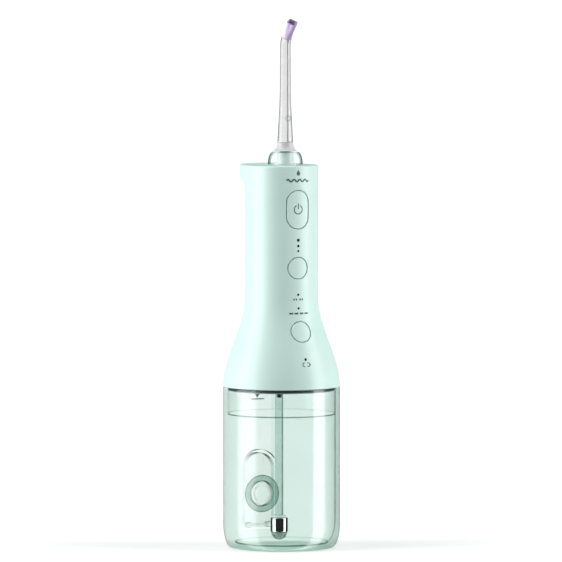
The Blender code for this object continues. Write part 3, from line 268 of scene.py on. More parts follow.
def metal(name, colour, roughness, stretch=(1.0, 1.0, 1.0), wear=0.25):
    """Bare metal with drawn or turned marks along the stretched direction."""
    made_material, tree = new_material(name)
    marks = noise(tree, 900.0, 4.0, stretch)
    base = blend_colour(tree, marks, shade(colour, 0.92), shade(colour, 1.05))
    rough = remap(tree, marks, roughness * 0.7, roughness * (1.0 + wear))
    principled = shader_node(
        tree,
        "ShaderNodeBsdfPrincipled",
        {"Base Color": base, "Metallic": 1.0, "Roughness": rough, "Normal": bump(tree, marks, 0.08, 0.01)},
    )
    output(tree, principled.outputs[0])
    return made_material


def math_node(tree, operation, first, second=0.0):
    return shader_node(tree, "ShaderNodeMath", {0: first, 1: second}, operation=operation).outputs[0]


def upright(tree):
    """1 on upright walls, fading to nothing on level faces."""
    normal = shader_node(tree, "ShaderNodeNewGeometry").outputs["Normal"]
    up = shader_node(tree, "ShaderNodeSeparateXYZ", {0: normal}).outputs[2]
    level = math_node(tree, "POWER", math_node(tree, "ABSOLUTE", up), 3.0)
    return math_node(tree, "SUBTRACT", 1.0, level)


def along(tree, vector, direction):
    """How far a vector points in a direction."""
    dot = shader_node(
        tree, "ShaderNodeVectorMath", {0: vector, 1: direction}, operation="DOT_PRODUCT"
    )
    return dot.outputs["Value"]


def painted_side_shade(tree, axis_y, radius):
    """Painted shade on the camera's right side of an upright round piece with its axis at x 0."""
    place = shader_node(tree, "ShaderNodeTexCoord").outputs["Object"]
    middle = axis_y * AWAY[1]
    low, high = (middle + 0.45 * radius) * MM, (middle + 0.9 * radius) * MM
    return remap(tree, along(tree, place, AWAY), 0.0, 1.0, low, high)


def painted_shade_right(tree):
    """A mask for painted shade on the side away from the main light: nothing on the left, full on the right."""
    place = shader_node(tree, "ShaderNodeTexCoord").outputs["Object"]
    return remap(tree, along(tree, place, AWAY), 0.0, 1.0, -0.8 * TANK_R * MM, TANK_R * MM)


def rear_half(tree):
    """A part's far side from the camera: nothing in front, full behind."""
    place = shader_node(tree, "ShaderNodeTexCoord").outputs["Object"]
    return remap(tree, along(tree, place, NEAR), 1.0, 0.0, -0.3 * TANK_R * MM, 0.3 * TANK_R * MM)


def above_level(tree):
    place = shader_node(tree, "ShaderNodeTexCoord").outputs["Object"]
    height = shader_node(tree, "ShaderNodeSeparateXYZ", {0: place}).outputs[2]
    return math_node(tree, "GREATER_THAN", height, LEVEL_Z * MM)


def reflectance(tree, facing, shine):
    """Schlick's rise of the reflection toward the edge, on outer faces only."""
    grazing = math_node(tree, "POWER", facing, 5.0)
    share = math_node(tree, "ADD", math_node(tree, "MULTIPLY", grazing, 0.5), 0.04)
    inside = shader_node(tree, "ShaderNodeNewGeometry").outputs["Backfacing"]
    outside = math_node(tree, "SUBTRACT", 1.0, inside)
    return math_node(tree, "MULTIPLY", math_node(tree, "MULTIPLY", share, outside), shine)


def clear(
    name,
    tint,
    edge_tint_and_shade,
    edge=(0.33, 0.58),
    shine=1.8,
    roughness=0.03,
    painted_shade_axis=None,
    level_too=False,
    edge_shade_right_only=False,
    wet=False,
    painted_light_rear=False,
):
    """Clear moulded plastic, seen straight through: each surface tints what is behind it.

    The colour deepens to the edge colour as the surface turns edge-on, over the edge range: partly the wall's own tint
    through a longer path, partly painted shade for the darkening that refraction brings at the edges.
    A thin gloss lies on top with faint smears. A wet surface has no gloss below the level line.
    """
    made_material, tree = new_material(name)
    facing = shader_node(tree, "ShaderNodeLayerWeight", {"Blend": 0.5}).outputs["Facing"]
    # partly painted shade: surfaces darken toward the edge colour as they turn edge-on
    steep = remap(tree, facing, 0.0, 1.0, *edge)
    if not level_too:
        steep = math_node(tree, "MULTIPLY", steep, upright(tree))
    # painted shade on the camera's right side of a round piece, about the given axis
    if painted_shade_axis:
        steep = math_node(tree, "MAXIMUM", steep, painted_side_shade(tree, *painted_shade_axis))
    share = reflectance(tree, facing, shine)
    # painted shade: edge darkening is kept to the side away from the main light
    if edge_shade_right_only:
        steep = math_node(tree, "MULTIPLY", steep, painted_shade_right(tree))
    if wet:
        share = math_node(tree, "MULTIPLY", share, above_level(tree))
    patchy = remap(tree, noise(tree, 40.0), 0.0, 0.03)
    base = blend_colour(tree, steep, (*tint, 1.0), (*edge_tint_and_shade, 1.0))
    base = blend_colour(tree, patchy, base, (*edge_tint_and_shade, 1.0))
    # painted light: the far half of the piece is blended toward near white
    if painted_light_rear:
        base = blend_colour(tree, rear_half(tree), base, (0.93, 0.95, 0.94, 1.0))
    through = shader_node(tree, "ShaderNodeBsdfTransparent", {"Color": base})
    smear = remap(tree, noise(tree, 60.0, 4.0), roughness * 0.5, roughness * 2.0)
    soft_ripple = bump(tree, noise(tree, 45.0, 1.0), 0.2, 0.02)
    gloss = shader_node(tree, "ShaderNodeBsdfGlossy", {"Roughness": smear, "Normal": soft_ripple})
    mixed = shader_node(
        tree, "ShaderNodeMixShader", {0: share, 1: through.outputs[0], 2: gloss.outputs[0]}
    )
    output(tree, mixed.outputs[0])
    return made_material


NO_TINT = (1.0, 1.0, 1.0)
NEVER = (2.0, 3.0)  # an edge range that no surface reaches


def build_materials():
    return {
        "mint": moulded("mint_plastic", (0.60, 0.80, 0.745), 0.34, **{"Specular IOR Level": 0.55}),
        "pad": moulded("pad_plastic", (0.62, 0.81, 0.76), 0.4, **{"Specular IOR Level": 0.5}),
        "ink": moulded("printed_ink", (0.055, 0.10, 0.092), 0.5, grain_depth=0.004),
        "lens": moulded(
            "smoked_lens", (0.012, 0.022, 0.02), 0.3, wear=0.0, **{"Specular IOR Level": 0.2}
        ),
        # the tank and its inner wall keep their edge darkening to the right: painted shade
        "tank": clear(
            "tank_plastic",
            (0.80, 0.893, 0.86),
            (0.68, 0.78, 0.74),
            shine=2.0,
            roughness=0.12,
            edge_shade_right_only=True,
        ),
        "wet": clear(
            "wet_plastic", NO_TINT, (0.46, 0.52, 0.50), (0.74, 0.95), 1.0, edge_shade_right_only=True, wet=True
        ),
        # the pocket's edges go almost black: painted shade for the darkened recess
        "pocket": clear(
            "pocket_plastic", (0.95, 0.97, 0.965), (0.06, 0.11, 0.10), (0.55, 0.8), 0.3, level_too=True
        ),
        # the water's edge, floor fillet and nozzle ring are painted lighter on their far half: painted light
        "line": clear(
            "line_plastic", (0.58, 0.66, 0.63), (0.38, 0.46, 0.43), (0.3, 0.8), 0.5, painted_light_rear=True
        ),
        "door": clear("door_plastic", (0.965, 0.985, 0.975), (0.62, 0.70, 0.67), (0.5, 0.9)),
        "plug": clear("plug_silicone", (0.97, 0.985, 0.98), (0.45, 0.53, 0.50), (0.4, 0.9), 0.5, 0.2),
        # the seat's dark edges: painted shade for the darkening that refraction brings round the ring
        "seat": clear(
            "seat_silicone", (0.68, 0.78, 0.74), (0.16, 0.25, 0.22), (0.3, 0.7), 0.4, 0.2, level_too=True
        ),
        "collar": clear("collar_plastic", (0.90, 0.96, 0.945), (0.32, 0.41, 0.38), (0.4, 0.65), 0.7),
        "nozzle": clear("nozzle_plastic", (0.84, 0.842, 0.845), (0.55, 0.55, 0.555), (0.33, 0.6), 0.9),
        # the nozzle bore is clear except for painted shade on its right side
        "nozzle_bore": clear(
            "nozzle_bore", NO_TINT, (0.50, 0.50, 0.505), NEVER, 0.0, painted_shade_axis=(NOZZLE_Y, TUBE_BORE_R)
        ),
        "collar_inside": clear("collar_inside", NO_TINT, (0.8, 0.86, 0.84), (0.7, 0.95), 0.0),
        "hose_bore": clear("hose_bore", NO_TINT, (0.9, 0.92, 0.91), (0.6, 0.9), 0.0),
        "white": moulded("white_plastic", (0.92, 0.94, 0.94), 0.3, wear=0.0),
        "insert": moulded("insert_plastic", (0.60, 0.615, 0.615), 0.35),
        # the tip's colours: painted light on the main light's side, painted shade on the far side
        "tip": painted_light_rubber("tip_rubber", (0.78, 0.69, 0.88), (0.33, 0.25, 0.44), 0.5),
        # the hose carries painted shade down its right side
        "hose": clear(
            "hose_rubber", (0.805, 0.857, 0.843), (0.46, 0.52, 0.50), (0.6, 0.9), 0.6, 0.15, painted_shade_axis=(HOSE_Y, HOSE_R)
        ),
        "black": moulded("black_rubber", (0.012, 0.015, 0.015), 0.35, grain_depth=0.02),
        "seam": moulded("seam_rubber", (0.05, 0.06, 0.06), 0.12, grain_depth=0.002),
        "grey": moulded("grey_plastic", (0.30, 0.33, 0.33), 0.45, grain_depth=0.03),
        "dark": moulded("dark_plastic", (0.05, 0.09, 0.08), 0.35),
        "steel": metal("polished_steel", (0.80, 0.81, 0.82), 0.06, (1.0, 1.0, 20.0)),
        "can": metal("plated_can", (0.62, 0.63, 0.64), 0.3, (1.0, 1.0, 12.0)),
        "brass": metal("turned_brass", (0.78, 0.58, 0.25), 0.25, (1.0, 1.0, 15.0)),
        "board": moulded("solder_mask", (0.03, 0.20, 0.10), 0.4, tone=0.2, grain=500.0, grain_depth=0.04),
        "wrap": moulded("cell_wrap", (0.06, 0.22, 0.48), 0.25, tone=0.06),
        "strainer": moulded("strainer_plastic", (0.32, 0.41, 0.375), 0.25),
    }


# ---------------------------------------------------------------- mesh builders


def made(name, bm, material, body, *nodes, sharp=30.0, ride=True):
    """Turn a bmesh of millimetres into a piece that rides on a body in place of CAD nodes."""
    bmesh.ops.remove_doubles(bm, verts=bm.verts, dist=1e-4)
    bmesh.ops.recalc_face_normals(bm, faces=bm.faces)
    bm.transform(Matrix.Scale(MM, 4))
    mesh = bpy.data.meshes.new(name)
    bm.to_mesh(mesh)
    bm.free()
    piece = bpy.data.objects.new(name, mesh)
    bpy.context.scene.collection.objects.link(piece)
    if ride:
        dress(piece, material, body, *nodes, sharp=sharp)
    return piece


def dress(piece, material, body, *nodes, sharp=30.0):
    """Material, smooth shading, body and the CAD nodes a finished piece stands for."""
    piece.data.materials.clear()
    piece.data.materials.append(material)
    piece.data.shade_smooth()
    piece.data.set_sharp_from_angle(angle=math.radians(sharp))
    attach(piece, body)
    if nodes:
        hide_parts(*nodes)
    return piece


def tool(bm):
    return made("tool", bm, None, None, ride=False)


def boolean(target, cutter, operation="DIFFERENCE"):
    modifier = target.modifiers.new("boolean", "BOOLEAN")
    modifier.object = cutter
    modifier.operation = operation
    evaluated = target.evaluated_get(bpy.context.evaluated_depsgraph_get())
    mesh = bpy.data.meshes.new_from_object(evaluated)
    target.modifiers.clear()
    target.data = mesh
    bpy.data.objects.remove(cutter)


def soften(piece, width, segments=2, angle=35.0):
    """Round the sharp edges of a piece by a small radius."""
    modifier = piece.modifiers.new("soften", "BEVEL")
    modifier.width = width * MM
    modifier.segments = segments
    modifier.limit_method = "ANGLE"
    modifier.angle_limit = math.radians(angle)
    modifier.harden_normals = False
    return piece


def moved(bm, offset):
    bmesh.ops.translate(bm, verts=bm.verts, vec=Vector(offset))
    return bm


def lay_along_y(bm):
    bm.transform(Matrix.Rotation(math.radians(90.0), 4, "X"))
    bm.transform(Matrix.Scale(-1.0, 4, (0.0, 1.0, 0.0)))
    return bm


def lay_along_x(bm):
    bm.transform(Matrix.Rotation(math.radians(90.0), 4, "Y"))
    return bm


def turned(profile, steps=SIDES):
    """Spin a closed outline of (radius, z) points about the Z axis."""
    bm = bmesh.new()
    corners = [bm.verts.new((radius, 0.0, z)) for radius, z in profile]
    pairs = zip(corners, corners[1:] + corners[:1])
    edges = [bm.edges.new(pair) for pair in pairs if max(pair[0].co.x, pair[1].co.x) > 0.0]
    bmesh.ops.spin(
        bm,
        geom=corners + edges,
        axis=(0.0, 0.0, 1.0),
        cent=(0.0, 0.0, 0.0),
        steps=steps,
        angle=2.0 * math.pi,
        use_merge=True,
    )
    bmesh.ops.remove_doubles(bm, verts=bm.verts, dist=1e-4)
    return bm


def prism(outline, low, high):
    bm = bmesh.new()
    face = bm.faces.new([bm.verts.new((x, y, low)) for x, y in outline])
    extruded = bmesh.ops.extrude_face_region(bm, geom=[face])
    top = [item for item in extruded["geom"] if isinstance(item, bmesh.types.BMVert)]
    bmesh.ops.translate(bm, verts=top, vec=(0.0, 0.0, high - low))
    return bm


def loft(rings):
    bm = bmesh.new()
    rows = [[bm.verts.new(point) for point in ring] for ring in rings]
    count = len(rows[0])
    for lower, upper in zip(rows, rows[1:]):
        for i in range(count):
            j = (i + 1) % count
            bm.faces.new((lower[i], lower[j], upper[j], upper[i]))
    bm.faces.new(rows[0])
    bm.faces.new(rows[-1])
    return bm


def sweep_rings(path, radius_at, steps, lobe_at=None, closed=False):
    """Circles square to the path, one at each point, carried along without twist."""
    rings = []
    side = Vector((1.0, 0.0, 0.0))
    if abs((path[1] - path[0]).normalized().x) > 0.9:
        side = Vector((0.0, 1.0, 0.0))
    for index, centre in enumerate(path):
        if closed:
            before, after = path[index - 1], path[(index + 1) % len(path)]
        else:
            before, after = path[max(index - 1, 0)], path[min(index + 1, len(path) - 1)]
        along = (after - before).normalized()
        side = (side - along * side.dot(along)).normalized()
        across = along.cross(side)
        fraction = index / (len(path) - 1)
        ring = []
        for step in range(steps):
            angle = 2.0 * math.pi * step / steps
            lobe = lobe_at(fraction) * math.cos(TIP_LOBES * angle) if lobe_at else 0.0
            radius = radius_at(fraction) * (1.0 + lobe)
            ring.append(centre + (side * math.cos(angle) + across * math.sin(angle)) * radius)
        rings.append(ring)
    return rings


def skin_loop(rings):
    """Join rings into a closed tube of tubes: the last ring meets the first."""
    bm = bmesh.new()
    steps = len(rings[0])
    loop = [[bm.verts.new(point) for point in ring] for ring in rings]
    for lower, upper in zip(loop, loop[1:] + loop[:1]):
        for i in range(steps):
            j = (i + 1) % steps
            bm.faces.new((lower[i], lower[j], upper[j], upper[i]))
    return bm


def tube(path, outer_at, inner_at, steps=32, lobe_at=None):
    """A tube along a path; the faces of its bore come in the second half."""
    outer = sweep_rings(path, outer_at, steps, lobe_at)
    inner = sweep_rings(path, inner_at, steps, lobe_at)
    return skin_loop(outer + inner[::-1])


def line_bore(pipe, material):
    """Give the second half of a tube's faces, its bore, a material of their own."""
    pipe.data.materials.append(material)
    faces = pipe.data.polygons
    for face in list(faces)[len(faces) // 2 :]:
        face.material_index = 1


def circle(radius, steps=64, centre=(0.0, 0.0)):
    turn = 2.0 * math.pi / steps
    return [
        (centre[0] + radius * math.cos(turn * i), centre[1] + radius * math.sin(turn * i))
        for i in range(steps)
    ]


def obround(width, height, quarter=16):
    """A slot outline about the origin with round ends."""
    radius = min(width, height) / 2.0
    reach_x = width / 2.0 - radius
    reach_y = height / 2.0 - radius
    points = []
    for number, (sign_x, sign_y) in enumerate(((1, 1), (-1, 1), (-1, -1), (1, -1))):
        for step in range(quarter + 1):
            angle = math.pi / 2.0 * (number + step / quarter)
            point = (
                sign_x * reach_x + radius * math.cos(angle),
                sign_y * reach_y + radius * math.sin(angle),
            )
            if not points or math.dist(point, points[-1]) > 1e-6:
                points.append(point)
    if math.dist(points[0], points[-1]) < 1e-6:
        points.pop()
    return points


def box(x_low, x_high, y_low, y_high, z_low, z_high):
    outline = [(x_low, y_low), (x_high, y_low), (x_high, y_high), (x_low, y_high)]
    return prism(outline, z_low, z_high)


def rod(radius, low, high, x=0.0, y=0.0, steps=48):
    return prism(circle(radius, steps, (x, y)), low, high)


def along_x(radius, half_length, y, z, steps=40):
    return moved(lay_along_x(prism(circle(radius, steps), -half_length, half_length)), (0.0, y, z))


def arc(centre, radius, start, end, steps):
    """Points of a round corner, angles in degrees."""
    points = []
    for step in range(steps + 1):
        angle = math.radians(start + (end - start) * step / steps)
        points.append((centre[0] + radius * math.cos(angle), centre[1] + radius * math.sin(angle)))
    return points


# ---------------------------------------------------------------- tank and fill door


def tank_outline(inset=0.0):
    """The outside of the tank, from the middle of the base to the rim."""
    foot = 0.8
    profile = [(0.0, 0.0), (BASE_R - inset - foot, 0.0)]
    for step in range(0, 25):
        angle = math.pi / 2.0 * step / 24
        radius = BASE_R + (TANK_R - BASE_R) * math.sin(angle) - inset
        lift = foot * (1.0 - step / 4.0) * 0.25 if step < 4 else 0.0
        profile.append((radius, CORNER_H * (1.0 - math.cos(angle)) + lift))
    return profile


def tank_solid(inset=0.0):
    rim = arc((TANK_R - inset - 0.4, TANK_TOP - 0.4), 0.4, 0.0, 90.0, 4)
    return turned(tank_outline(inset) + rim + [(0.0, TANK_TOP)])


def tank_cavity():
    top_radius = TANK_R - TANK_WALL
    floor_radius = BASE_R - TANK_WALL
    profile = [(0.0, TANK_FLOOR), (floor_radius, TANK_FLOOR)]
    for step in range(1, 21):
        angle = math.pi / 2.0 * step / 20
        radius = floor_radius + (top_radius - floor_radius) * math.sin(angle)
        profile.append((radius, TANK_FLOOR + CORNER_H * (1.0 - math.cos(angle))))
    profile += [(top_radius, TANK_TOP + 1.0), (0.0, TANK_TOP + 1.0)]
    return turned(profile)


def door_outline(inset, low=DOOR_LOW):
    half = DOOR_HALF - inset
    centre_z = DOOR_TOP - DOOR_HALF
    foot = [(-half, low + inset), (half, low + inset)]
    return foot + arc((0.0, centre_z), half, 0.0, 180.0, 40)


def door_prism(inset, y_low, y_high, low=DOOR_LOW):
    return lay_along_y(prism(door_outline(inset, low), y_low, y_high))


def pocket_room():
    """The pocket's walls as a block inside the tank, with a rounded front edge."""
    edge = 1.1
    rings = []
    for step in range(7):
        angle = math.pi / 2.0 * step / 6
        inset = edge * (1.0 - math.sin(angle)) - POCKET_WALL
        depth = POCKET_Y - POCKET_WALL + edge * (1.0 - math.cos(angle))
        rings.append([(x, depth, z) for x, z in door_outline(inset, low=1.0)])
    rings.append([(x, TANK_R + 5.0, z) for x, z in door_outline(-POCKET_WALL, low=1.0)])
    return loft(rings)


def port_boss():
    """The ring round the port, with a half-round front."""
    middle, half = (PORT_RING_R + PORT_R) / 2.0, (PORT_RING_R - PORT_R) / 2.0
    front = arc((middle, -(PORT_RING_Y + half)), half, 0.0, 180.0, 16)
    profile = [(PORT_R, -POCKET_Y), (PORT_RING_R, -POCKET_Y)] + front
    bm = turned(profile, 96)
    bm.transform(Matrix.Rotation(math.radians(90.0), 4, "X"))
    return moved(bm, (0.0, 0.0, PORT_Z))


def port_disc(radius, y_low, y_high):
    return moved(lay_along_y(prism(circle(radius, 64), y_low, y_high)), (0.0, 0.0, PORT_Z))


def outer_radius(z):
    """The tank's outside radius at a height."""
    if z >= CORNER_H:
        return TANK_R
    angle = math.acos(1.0 - z / CORNER_H)
    return BASE_R + (TANK_R - BASE_R) * math.sin(angle)


def tank_side(centre):
    """Which side of the wall a face is on: 0 outside, 1 by the water, 2 in the door's pocket."""
    x, y, z = centre / MM
    in_opening = abs(x) < DOOR_HALF + 0.1 and y > POCKET_Y - 0.1 and z > DOOR_LOW + 0.1
    in_port = math.hypot(x, z - PORT_Z) < PORT_R + 0.1 and y > PORT_RING_Y
    if in_opening or in_port:
        return 2
    if z > 1.0 and math.hypot(x, y) < outer_radius(z) - 1.0:
        return 1
    return 0


def build_tank(material, wet, pocket):
    cavity = tool(tank_cavity())
    boolean(cavity, tool(pocket_room()))
    boolean(cavity, tool(port_boss()))
    rib_top = PORT_Z - PORT_R - 2.0
    boolean(cavity, tool(box(-4.0, 4.0, PORT_RING_Y + 1.0, POCKET_Y, 1.0, rib_top)))
    shell = made("tank_wall", tank_solid(), material, "reservoir", ride=False)
    boolean(shell, cavity)
    boolean(shell, tool(door_prism(0.0, POCKET_Y, TANK_R + 5.0)))
    boolean(shell, tool(port_disc(PORT_R, PORT_RING_Y - 3.0, POCKET_Y + 1.0)))
    for side in (-1.0, 1.0):
        middle = side * (EAR_HALF - EAR_WIDTH / 2.0)
        ear = moved(along_x(HINGE_R + 0.1, EAR_WIDTH / 2.0, HINGE_Y, HINGE_Z), (middle, 0.0, 0.0))
        boolean(shell, tool(ear), "UNION")
        x_low, x_high = middle - EAR_WIDTH / 2.0, middle + EAR_WIDTH / 2.0
        foot = (POCKET_Y - 0.5, HINGE_Y, HINGE_Z - HINGE_R, HINGE_Z + HINGE_R)
        boolean(shell, tool(box(x_low, x_high, *foot)), "UNION")
    boolean(shell, tool(along_x(0.8, EAR_HALF + 1.0, HINGE_Y, HINGE_Z)))
    dress(shell, material, "reservoir", "reservoir_shell")
    shell.data.materials.append(wet)
    shell.data.materials.append(pocket)
    for face in shell.data.polygons:
        face.material_index = tank_side(face.center)


def build_port_seat(material):
    """The soft ring the plug presses into, seen as a thick band round the port."""
    middle, half = (PORT_RING_R + PORT_R) / 2.0, (PORT_RING_R - PORT_R) / 2.0 + 0.03
    bm = turned(arc((middle, -(PORT_RING_Y + half)), half, 0.0, 345.0, 23), 96)
    bm.transform(Matrix.Rotation(math.radians(90.0), 4, "X"))
    made("port_seat", moved(bm, (0.0, 0.0, PORT_Z)), material, "reservoir")


def build_tank_lines(line, ink):
    """The water's edge, the fillet round the floor and a plain fill mark on the rear wall."""
    inner = TANK_R - TANK_WALL - 0.02
    meniscus = [(inner, LEVEL_Z + 0.5), (inner - 0.12, LEVEL_Z), (inner - 0.5, LEVEL_Z - 0.25), (inner, LEVEL_Z - 0.3)]
    made("water_edge", turned(meniscus, 192), line, "reservoir")
    corner = BASE_R - TANK_WALL + 0.45
    low = TANK_FLOOR - 0.6
    fillet = [(corner - 0.9, low), (corner, low + 0.9), (corner + 0.15, low)]
    made("floor_fillet", turned(fillet, 192), line, "reservoir")
    bm = bmesh.new()
    bar = [(-4.5, -0.3), (4.5, -0.3), (4.5, 0.3), (-4.5, 0.3)]
    arrow = [(0.0, 0.7), (1.5, 2.9), (-1.5, 2.9)]
    for outline in (bar, arrow):
        rows = []
        for radius in (inner - 0.05, inner + 0.01):
            rows.append(
                [
                    bm.verts.new((radius * math.sin(u / radius), radius * math.cos(u / radius), 86.5 + v))
                    for u, v in outline
                ]
            )
        for row in rows:
            bm.faces.new(row)
        for i in range(len(outline)):
            j = (i + 1) % len(outline)
            bm.faces.new((rows[0][i], rows[0][j], rows[1][j], rows[1][i]))
    made("fill_mark", bm, ink, "reservoir")


def build_door(material):
    door = made("tank_door", tank_solid(0.1), material, "fill_door", ride=False)
    boolean(door, tool(door_prism(0.35, POCKET_Y + 0.6, TANK_R + 5.0)), "INTERSECT")
    wide = DOOR_HALF + 1.0
    reach = (POCKET_Y - 1.0, TANK_R + 5.0)
    boolean(door, tool(box(-wide, wide, *reach, 0.0, HINGE_Z)))
    ear_top = HINGE_Z + HINGE_R + 0.6
    for low, high in ((-EAR_HALF - 0.3, -KNUCKLE_HALF - 0.02), (KNUCKLE_HALF + 0.02, EAR_HALF + 0.3)):
        boolean(door, tool(box(low, high, *reach, 0.0, ear_top)))
    boolean(door, tool(along_x(HINGE_R, KNUCKLE_HALF, HINGE_Y, HINGE_Z)), "UNION")
    boolean(door, tool(along_x(0.8, KNUCKLE_HALF + 1.0, HINGE_Y, HINGE_Z)))
    boolean(door, tool(along_x(5.0, 5.0, TANK_R + 3.6, DOOR_TOP - 5.5)))
    return dress(soften(door, 0.25), material, "fill_door", "fill_door")


def build_plug(material):
    root, tip = POCKET_Y + 0.3, PORT_RING_Y + 0.6
    outer = [(PORT_R - 0.4, -root), (PORT_R - 0.45, -(root - 1.2)), (PORT_R - 0.95, -(tip + 0.4))]
    lip = arc((PORT_R - 1.6, -(tip + 0.55)), 0.55, 0.0, 180.0, 8)
    inner = [(PORT_R - 2.3, -(root - 1.6)), (0.0, -(root - 1.6))]
    bm = turned([(0.0, -root)] + outer + lip + inner, 64)
    bm.transform(Matrix.Rotation(math.radians(90.0), 4, "X"))
    return made("port_plug", moved(bm, (0.0, 0.0, PORT_Z)), material, "fill_door", "door_plug")


# ---------------------------------------------------------------- handle and pads


def flare_radius(z):
    """The handle's radius: the tank's at the joint, easing to the neck's."""
    t = min(max((z - FLARE_LOW) / (FLARE_TOP - FLARE_LOW), 0.0), 1.0)
    return TANK_R - (TANK_R - NECK_R) * t * t * (3.0 - 2.0 * t)


def heights(low, high, steps):
    return [low + (high - low) * step / steps for step in range(steps + 1)]


def handle_ring(half_width, rear_reach, z, steps=SIDES):
    """A circle in front and half an ellipse behind."""
    ring = []
    for step in range(steps):
        angle = 2.0 * math.pi * step / steps
        reach = rear_reach if math.sin(angle) > 0.0 else half_width
        ring.append((half_width * math.cos(angle), reach * math.sin(angle), z))
    return ring


def handle_solid():
    """The outside: a softened foot, the flare, the neck, the swept lip and a rounded top edge."""
    foot = 0.3
    rings = []
    for step in range(4):
        inset = foot * (1.0 - math.sin(math.pi / 2.0 * step / 3))
        z = HANDLE_LOW + foot * (1.0 - math.cos(math.pi / 2.0 * step / 3))
        rings.append(handle_ring(flare_radius(z) - inset, flare_radius(z) - inset, z))
    for z in heights(HANDLE_LOW + 1.0, FLARE_TOP, 48):
        rings.append(handle_ring(flare_radius(z), flare_radius(z), z))
    for z in heights(FLARE_TOP + 4.0, LIP_LOW - 2.0, 12):
        rings.append(handle_ring(NECK_R, NECK_R, z))
    for step in range(17):
        angle = math.pi / 2.0 * step / 16
        reach = NECK_R + (LIP_REACH - NECK_R) * (1.0 - math.cos(angle))
        rings.append(handle_ring(NECK_R, reach, LIP_LOW + LIP_RISE * math.sin(angle)))
    for step in range(9):
        angle = math.pi / 2.0 * step / 8
        inset = EDGE_R * (1.0 - math.cos(angle))
        z = HANDLE_TOP - EDGE_R * (1.0 - math.sin(angle))
        rings.append(handle_ring(NECK_R - inset, LIP_REACH - inset, z))
    return loft(rings)


def handle_cavity():
    low_radius = flare_radius(HANDLE_LOW) - HANDLE_WALL
    profile = [(0.0, HANDLE_LOW - 1.0), (low_radius, HANDLE_LOW - 1.0)]
    profile += [(flare_radius(z) - HANDLE_WALL, z) for z in heights(HANDLE_LOW, FLARE_TOP, 24)]
    profile += [(NECK_R - HANDLE_WALL, HANDLE_TOP - TOP_WALL), (0.0, HANDLE_TOP - TOP_WALL)]
    return turned(profile, SIDES)


def handle_sleeve(low, high, thickness):
    levels = heights(low, high, 16)
    outside = [(flare_radius(z), z) for z in levels]
    inside = [(flare_radius(z) - thickness, z) for z in reversed(levels)]
    return turned(outside + inside, 2 * SIDES)


def surface_point(across, z, lift=0.0, rear=False):
    """A point on the handle's front or back surface, across millimetres round from the middle."""
    radius = flare_radius(z)
    angle = across / radius
    front = 1.0 if rear else -1.0
    return Vector(((radius + lift) * math.sin(angle), front * (radius + lift) * math.cos(angle), z))


def mode_slope():
    """How far the flare leans back at the mode pad, in radians."""
    return math.atan((flare_radius(MODE_Z - 1.0) - flare_radius(MODE_Z + 1.0)) / 2.0)


def mode_frame():
    place = Matrix.Translation((0.0, -flare_radius(MODE_Z), MODE_Z))
    return place @ Matrix.Rotation(-(math.pi / 2.0 + mode_slope()), 4, "X")


def mode_cylinder(radius, low, high):
    bm = prism(circle(radius, 72), low, high)
    bm.transform(mode_frame())
    return bm


def front_prism(outline, z, y_low, y_high):
    return moved(lay_along_y(prism(outline, y_low, y_high)), (0.0, 0.0, z))


def straight_groove(outline, z, rear=False):
    """A thin round bead that follows an outline over the neck, for softening a seam's edges."""
    path = []
    for x, up in outline:
        radius = flare_radius(z + up)
        depth = math.sqrt(radius * radius - x * x)
        path.append(Vector((x, depth if rear else -depth, z + up)))
    return bead(path)


def mode_groove():
    """The same bead round the mode pad, dropped onto the sloping flare along the pad's own axis."""
    frame_matrix = mode_frame()
    press = (frame_matrix.to_3x3() @ Vector((0.0, 0.0, 1.0))).normalized()
    path = []
    for x, up in circle(MODE_R + SEAM_GAP / 2.0, 72):
        point = frame_matrix @ Vector((x, up, -3.0))
        for _ in range(30):
            error = math.hypot(point.x, point.y) - flare_radius(point.z)
            point += press * error * 0.8
        path.append(point)
    return bead(path)


def bead(path, radius=0.5):
    return skin_loop(sweep_rings(path, lambda f: radius, 8, closed=True))


def seam_outline(outline_at):
    """The middle line of a pad's seam."""
    return outline_at(SEAM_GAP / 2.0)


def power_outline(grow=0.0):
    return obround(POWER_WIDTH + 2 * grow, POWER_HEIGHT + 2 * grow)


def intensity_outline(grow=0.0):
    return circle(INTENSITY_R + grow, 72)


def charge_outline(grow=0.0):
    return obround(CHARGE_WIDTH + 2 * grow, CHARGE_HEIGHT + 2 * grow)


def build_handle(material):
    shell = made("handle_casing", handle_solid(), material, "handle", ride=False)
    boolean(shell, tool(handle_cavity()))
    front, back = -NECK_R - 3.0, -NECK_R + HANDLE_WALL + 3.0
    for outline_at, z in ((power_outline, POWER_Z), (intensity_outline, INTENSITY_Z)):
        boolean(shell, tool(front_prism(outline_at(SEAM_GAP), z, front, back)))
        boolean(shell, tool(straight_groove(seam_outline(outline_at), z)))
    boolean(shell, tool(mode_cylinder(MODE_R + SEAM_GAP, -4.0, 6.0)))
    boolean(shell, tool(mode_groove()))
    for node in LENSES:
        low, high = span(node)
        middle, radius = (low.z + high.z) / 2.0, high.x
        hole = front_prism(circle(radius + 0.05, 32), middle, low.y - 3.0, low.y + 6.0)
        boolean(shell, tool(hole))
    rear = (NECK_R - HANDLE_WALL - 2.0, NECK_R + 3.0)
    boolean(shell, tool(front_prism(charge_outline(0.3), CHARGE_Z, *rear)))
    boolean(shell, tool(straight_groove(charge_outline(0.15), CHARGE_Z, rear=True)))
    hub_room = rod(7.0, HANDLE_TOP - 5.0, HANDLE_TOP + 1.0, y=NOZZLE_Y, steps=96)
    boolean(shell, tool(hub_room))
    return dress(shell, material, "handle", "handle_shell")


LENSES = (
    "intensity_lens_1",
    "intensity_lens_2",
    "intensity_lens_3",
    "mode_lens_1",
    "mode_lens_2",
    "battery_lens",
)


